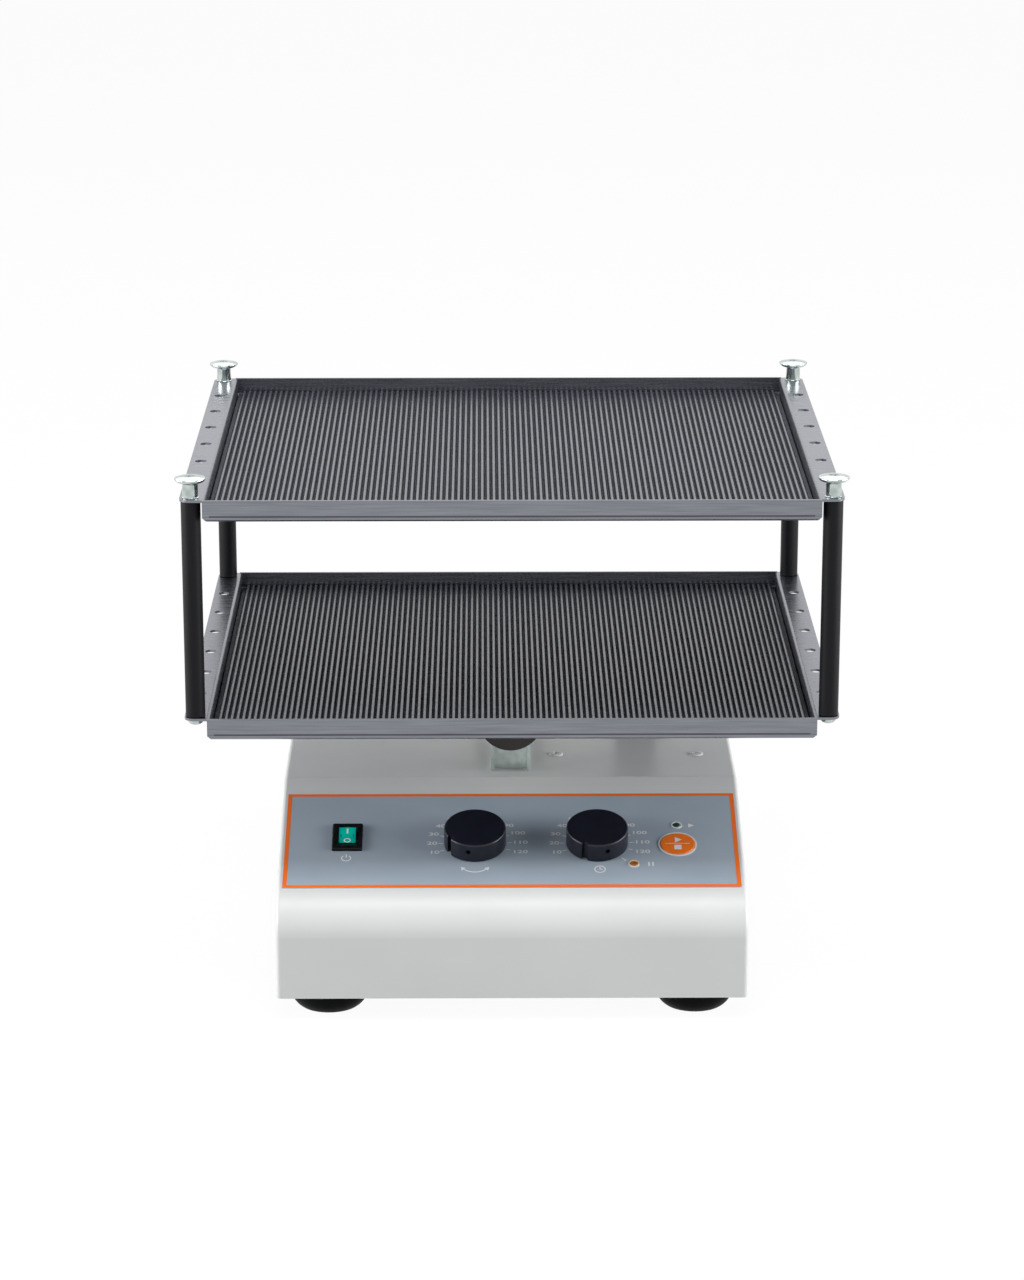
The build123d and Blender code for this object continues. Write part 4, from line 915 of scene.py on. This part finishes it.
@dataclass
class PanelPrint:
    """What is screen printed on the film: the orange border, dial numbers, ticks and plain symbols.

    Ink has a real height over its ground, and goes a little way into it so that no gap shows.
    """

    plane: PanelPlane
    film_h: float = 0.5
    ink: float = 0.06
    sink: float = 0.01
    key_sink: float = 0.03
    half_u: float = 137.2
    v0: float = 18.4
    v1: float = 112.4
    border: float = 2.6
    border_edge: float = 0.15
    dial_us: tuple[float, float] = (-22.1, 51.8)
    dial_v: float = 69.3
    power_at: Point = (-99.8, 83.4)
    speed_at: Point = (-22.1, 94.4)
    time_at: Point = (53.0, 94.9)
    run_at: Point = (109.4, 51.4)
    pause_at: Point = (83.8, 89.9)
    switch_u: float = -99.5
    switch_v: float = 63.7
    rocker_axis_h: float = -2.0
    rocker_tilt: float = 7.0
    rocker_top: float = 4.67
    rocker_half_w: float = 5.8
    rocker_half_l: float = 8.6
    frame_w: float = 0.7
    frame_end: float = 6.9
    frame_sink: float = 0.2
    frame_h: float = 0.25
    dot_r: float = 0.42
    button_u: float = 100.6
    button_v: float = 70.5
    button_h: float = 1.3
    hold_u: float = 73.6
    hold_v: float = 89.7
    ring_h: float = 0.9
    ring_radii: tuple[float, float] = (3.3, 2.6)
    digit: float = 4.4
    digit_stretch: float = 1.45
    tick: float = 0.55
    tick_reach: tuple[float, float] = (19.6, 22.4)
    end_tick_reach: tuple[float, float] = (20.2, 24.0)
    places: tuple[Point, ...] = (
        (-24.6, 8.6), (-26.0, -0.4), (-25.0, -9.6), (-20.8, -17.8), (-14.0, -24.4), (-5.6, -27.6),
        (4.2, -27.6), (12.6, -24.6), (20.4, -18.2), (25.8, -10.6), (27.3, -1.2), (27.2, 8.2),
    )

    def mark(self, mesh: BMesh, outline: Points, place: Matrix, sink: float | None = None) -> None:
        """Adds one flat printed shape, which reaches into its ground by sink, or by the usual amount."""
        slab(mesh, outline, -(self.sink if sink is None else sink), self.ink, place)

    def border_band(self) -> Object:
        """The orange line round the film's edge.

        Returns:
            The line.
        """
        mesh = bmesh.new()
        middle, half_v = (self.v0 + self.v1) / 2, (self.v1 - self.v0) / 2
        outer, inner = (
            [(sx * (self.half_u - inset), sy * (half_v - inset)) for sx, sy in SQUARE]
            for inset in (self.border_edge, self.border)
        )
        ring(mesh, outer, inner, -self.sink, self.ink, self.plane.at(0, middle, self.film_h))
        return piece("panel_border", mesh, ORANGE_INK, Body.BASE)

    def words(self, mesh: BMesh, text: str, place: Matrix, size: float, bold: float = 0.1) -> None:
        """Adds a dial number to a bmesh, centred on a place.

        Args:
            mesh: The bmesh that gets the faces.
            text: The number.
            place: Where the middle is, with the axes of the print.
            size: The height of the type.
            bold: How much the strokes are thickened.
        """
        curve = bpy.data.curves.new("number", "FONT")
        curve.body = text
        curve.size = size
        curve.extrude = self.ink / 2
        curve.offset = bold
        curve.resolution_u = 4
        curve.align_x, curve.align_y = "CENTER", "CENTER"
        holder = bpy.data.objects.new("number", curve)
        bpy.context.scene.collection.objects.link(holder)
        bpy.context.view_layer.update()
        data = bpy.data.meshes.new_from_object(holder)
        data.transform(place @ Matrix.Diagonal((self.digit_stretch, 1, 1, 1)))
        mesh.from_mesh(data)
        bpy.data.objects.remove(holder)
        bpy.data.meshes.remove(data)
        bpy.data.curves.remove(curve)

    def dial_tick(self, mesh: BMesh, u: float, toward: Point, reach: tuple[float, float]) -> None:
        """Adds one tick of a dial.

        Args:
            mesh: The bmesh that gets the faces.
            u: Where the dial's middle is across the panel.
            toward: The way from the middle to the tick.
            reach: How far from the middle it begins and ends.
        """
        away = Vector(toward).normalized()
        line = stroke(tuple(reach[0] * away), tuple(reach[1] * away), self.tick)
        self.mark(mesh, line, self.plane.at(u, self.dial_v, self.film_h))

    def dial(self, mesh: BMesh, u: float, extra: bool) -> None:
        """Adds a dial's numbers from 10 to 120 and its ticks.

        Args:
            mesh: The bmesh that gets the faces.
            u: Where the dial's middle is across the panel.
            extra: Whether a longer tick stands past its end.
        """
        height = self.film_h + self.ink / 2
        for i, (x, y) in enumerate(self.places):
            self.words(mesh, str(10 * (i + 1)), self.plane.at(u + x, self.dial_v + y, height), self.digit)
            self.dial_tick(mesh, u, (x, -y), self.tick_reach)
        if extra:
            self.dial_tick(mesh, u, (1, -1), self.end_tick_reach)

    def symbols(self, mesh: BMesh) -> None:
        """Adds the plain symbols: power, rocking speed, clock, run and hold.

        Args:
            mesh: The bmesh that gets the faces.
        """
        places = (self.power_at, self.speed_at, self.time_at, self.run_at, self.pause_at)
        power, speed, clock, run, pause = (self.plane.at(*place, self.film_h) for place in places)
        self.mark(mesh, bow((0, 0), 3.1, 2.35, 128, 412, 28), power)
        self.mark(mesh, stroke((0, 0.6), (0, 3.7), 0.75), power)
        self.mark(mesh, bow((0, 6.2), 9.6, 8.8, 222, 318, 26), speed)
        for side in (-1, 1):
            self.mark(mesh, [(side * 5.6, 1.0), (side * 8.6, 2.0), (side * 7.9, -1.6)], speed)
        ring(mesh, circle(3.5, 36), circle(2.8, 36), -self.sink, self.ink, clock)
        self.mark(mesh, stroke((0, -0.3), (0, 2.2), 0.65), clock)
        self.mark(mesh, stroke((-0.3, 0), (1.8, 0), 0.65), clock)
        self.mark(mesh, [(-1.6, -2.0), (2.0, 0), (-1.6, 2.0)], run)
        for x in (-1.2, 1.2):
            self.mark(mesh, stroke((x, -1.9), (x, 1.9), 1.0), pause)

    def rocker_half(self, side: int) -> Matrix:
        """The place and axes of the rocker's upper half, which has side 1, or of its lower half."""
        axis = self.plane.at(self.switch_u, self.switch_v, self.rocker_axis_h) @ tilt(self.rocker_tilt)
        return axis @ Matrix.Translation((0, 0, self.rocker_top)) @ tilt(side * self.rocker_tilt)

    def switch_marks(self) -> None:
        """The white I and O on the rocker's two halves, its four dark dots and its black frame."""
        marks, dots, ends = bmesh.new(), bmesh.new(), bmesh.new()
        self.mark(marks, stroke((0, 2.2), (0, 5.8), 0.9), self.rocker_half(1), self.key_sink)
        round_o = self.rocker_half(-1) @ Matrix.Translation((0, -4.1, 0))
        ring(marks, circle(2.1, 32), circle(1.45, 32), -self.key_sink, self.ink, round_o)
        for side in (1, -1):
            for x in (-3.7, 3.7):
                dot = self.rocker_half(side) @ Matrix.Translation((x, side * 0.8, 0))
                self.mark(dots, circle(self.dot_r, 16), dot, self.key_sink)
        wide, inner = self.rocker_half_w, self.rocker_half_w - self.frame_w
        spans = [(-wide, wide, self.frame_end, self.rocker_half_l)]
        spans += [(-wide, -inner, 0.1, self.frame_end), (inner, wide, 0.1, self.frame_end)]
        for side in (-1, 1):
            for left, right, near, far in spans:
                outline = oblong(left, right, *sorted((side * near, side * far)))
                slab(ends, outline, -self.frame_sink, self.frame_h, self.rocker_half(side))
        piece("rocker_frame", ends, SWITCH_PLASTIC, Body.ROCKER)
        piece("rocker_marks", marks, WHITE_INK, Body.ROCKER)
        piece("rocker_dots", dots, SWITCH_PLASTIC, Body.ROCKER)

    def button_marks(self) -> None:
        """A white triangle, a thin line and a square on the round button, for running and stopping."""
        mesh = bmesh.new()
        face = self.plane.at(self.button_u, self.button_v, self.button_h)
        triangle = [(-1.6, 1.1), (2.6, 3.7), (-1.6, 6.3)]
        for outline in (triangle, stroke((-7.4, 0), (7.4, 0), 0.35), oblong(-2.2, 2.2, -5.9, -1.5)):
            self.mark(mesh, outline, face, self.key_sink)
        piece("button_marks", mesh, WHITE_INK, Body.BUTTON)

    def hold_ring(self) -> None:
        """The pale orange ring round the hold lamp."""
        mesh = bmesh.new()
        outer, inner = (circle(radius, 40) for radius in self.ring_radii)
        place = self.plane.at(self.hold_u, self.hold_v, self.ring_h)
        ring(mesh, outer, inner, -self.key_sink, self.ink, place)
        piece("hold_ring_ink", mesh, PEACH_INK, Body.BASE)

    def build(self) -> None:
        """Prints the border, the dials, the symbols and the marks on the switch, the button and the lamp."""
        self.border_band()
        mesh = bmesh.new()
        for u, extra in zip(self.dial_us, (False, True)):
            self.dial(mesh, u, extra)
        self.symbols(mesh)
        piece("panel_print", mesh, WHITE_INK, Body.BASE)
        self.switch_marks()
        self.button_marks()
        self.hold_ring()


# ---------------- studio
@dataclass(frozen=True)
class SoftBox:
    """A soft rectangular lamp that points at a target, with its places and sizes in metres."""

    name: str
    place: tuple[float, float, float]
    target: tuple[float, float, float]
    size: tuple[float, float]
    watts: float

    def build(self) -> None:
        """Adds the lamp to the scene."""
        data = bpy.data.lights.new(self.name, "AREA")
        data.shape = "RECTANGLE"
        data.size, data.size_y = self.size
        data.energy = self.watts
        holder = bpy.data.objects.new(self.name, data)
        holder.location = self.place
        aim = Vector(self.target) - Vector(self.place)
        holder.rotation_euler = aim.to_track_quat("-Z", "Y").to_euler()
        bpy.context.scene.collection.objects.link(holder)


LAMPS = (
    SoftBox("soft_box_top", (0, -0.6, 2.2), (0, 0, 0.2), (1.5, 1.1), 34.0),
    SoftBox("soft_box_back", (0, 1.9, 1.9), (0, 0.1, 0.1), (3.0, 1.4), 14.0),
    SoftBox("soft_box_left", (-1.9, -0.4, 0.5), (0, -0.08, 0.12), (1.6, 0.7), 34.0),
    SoftBox("soft_box_right", (1.9, -0.4, 0.5), (0, -0.08, 0.12), (1.6, 0.7), 34.0),
)


@dataclass
class Studio:
    """A pale floor, soft lamps, a white background and the camera."""

    lens_mm: float = 108.335
    stand: tuple[float, float, float] = (-0.0162, -2.2984, 0.87535)
    look_down: float = 0.28963
    look_aside: float = -0.0075
    ambient: float = 0.34
    floor_mm: tuple[float, float, float, float] = (-4000, 4000, -640, 7000)
    floor_thick: float = 4.0
    floor_white: float = 0.95
    floor_tone: str = "#FAFAFA"
    bounce: str = "#909090"

    def camera(self) -> None:
        """A long lens above and in front of the panel side."""
        data = bpy.data.cameras.new("camera")
        data.sensor_width = 36.0
        data.lens = self.lens_mm
        data.clip_start, data.clip_end = 0.05, 50.0
        holder = bpy.data.objects.new("camera", data)
        holder.location = self.stand
        holder.rotation_euler = (math.pi / 2 - self.look_down, 0, self.look_aside)
        bpy.context.scene.collection.objects.link(holder)
        bpy.context.scene.camera = holder

    def seen_ray(self, tree: Tree) -> Socket:
        """Tells the rays that should meet the white background.

        Args:
            tree: The node tree.

        Returns:
            1 for rays from the camera, from mirrors and through glass, and 0 for the rest.
        """
        path = add(tree, "ShaderNodeLightPath")
        seen = path.outputs["Is Camera Ray"]
        for name in ("Is Glossy Ray", "Is Transmission Ray"):
            pair = {0: seen, 1: path.outputs[name]}
            seen = add(tree, "ShaderNodeMath", pair, operation="MAXIMUM").outputs[0]
        return seen

    def world(self) -> None:
        """A soft light on the object, and plain white where the camera, metal or glass sees it."""
        world = bpy.data.worlds.new("studio")
        bpy.context.scene.world = world
        world.use_nodes = True
        tree = world.node_tree
        tree.nodes.clear()
        seen = self.seen_ray(tree)
        light = add(tree, "ShaderNodeBackground", {"Color": linear(WHITE), "Strength": self.ambient})
        white = add(tree, "ShaderNodeBackground", {"Color": linear(WHITE), "Strength": 1.0})
        mix = add(tree, "ShaderNodeMixShader", {0: seen, 1: light.outputs[0], 2: white.outputs[0]})
        add(tree, "ShaderNodeOutputWorld", {"Surface": mix.outputs[0]})

    def floor(self) -> None:
        """A large matt white floor that keeps a light shadow."""
        mesh = bmesh.new()
        slab(mesh, oblong(*self.floor_mm), -self.floor_thick, 0, Matrix.Identity(4))
        bmesh.ops.scale(mesh, vec=(MM, MM, MM), verts=mesh.verts)
        data = bpy.data.meshes.new("floor")
        mesh.to_mesh(data)
        mesh.free()
        material = bpy.data.materials.new("matt_white_floor")
        material.use_nodes = True
        tree = material.node_tree
        tree.nodes.clear()
        seen = self.seen_ray(tree)
        tones = {0: seen, 6: linear(self.bounce), 7: linear(self.floor_tone)}
        shade = add(tree, "ShaderNodeMix", tones, data_type="RGBA")
        matt = add(tree, "ShaderNodeBsdfDiffuse", {"Color": shade.outputs[2]})
        white = add(tree, "ShaderNodeEmission", {"Color": linear(WHITE), "Strength": 1.0})
        share = add(tree, "ShaderNodeMath", {0: seen, 1: self.floor_white}, operation="MULTIPLY")
        mix = add(tree, "ShaderNodeMixShader", {0: share.outputs[0], 1: matt.outputs[0], 2: white.outputs[0]})
        add(tree, "ShaderNodeOutputMaterial", {"Surface": mix.outputs[0]})
        data.materials.append(material)
        made = bpy.data.objects.new("floor", data)
        bpy.context.scene.collection.objects.link(made)

    def build(self) -> None:
        """Sets up the whole studio."""
        self.camera()
        self.world()
        self.floor()
        for lamp in LAMPS:
            lamp.build()
        bpy.context.scene.view_settings.view_transform = "Standard"


def main() -> None:
    """Builds the scene, piece by piece."""
    logging.basicConfig(level=logging.INFO, format="%(name)s: %(message)s")
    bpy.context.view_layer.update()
    Studio().build()
    dress_frame()
    for level, rim_z in (("lower", LOWER_RIM), ("upper", UPPER_RIM)):
        RibbedMat(f"{level}_mat", rim_z - TRAY_H + TRAY_SHEET).build()
        # Each tray also gets a dark strip of painted shadow along its scored fold.
        PaintedFoldShadow(f"{level}_tray", rim_z - TRAY_H).build()
    for corner in CORNERS:
        ThumbScrew(corner).build()
    CrossHeads("post_screws", ZINC, "zinc_plate", Body.PLATFORM, 3.2, 2.9).build()
    CrossHeads("top_screws", ENAMEL, "housing_enamel", Body.BASE, 0.9, 2.0, out=(0, 0, 1)).build()
    CrossHeads("base_screws", ZINC, "zinc_plate", Body.BASE, 1.8, 1.8).build()
    CrossHeads("foot_screws", ZINC, "zinc_plate", Body.BASE, 2.8, 2.5).build()
    CrossHeads("inlet_screws", ZINC, "zinc_plate", Body.BASE, 1.8, 1.5, out=(0, 1, 0)).build()
    PanelPrint(PanelPlane()).build()


if __name__ == "__main__":
    main()
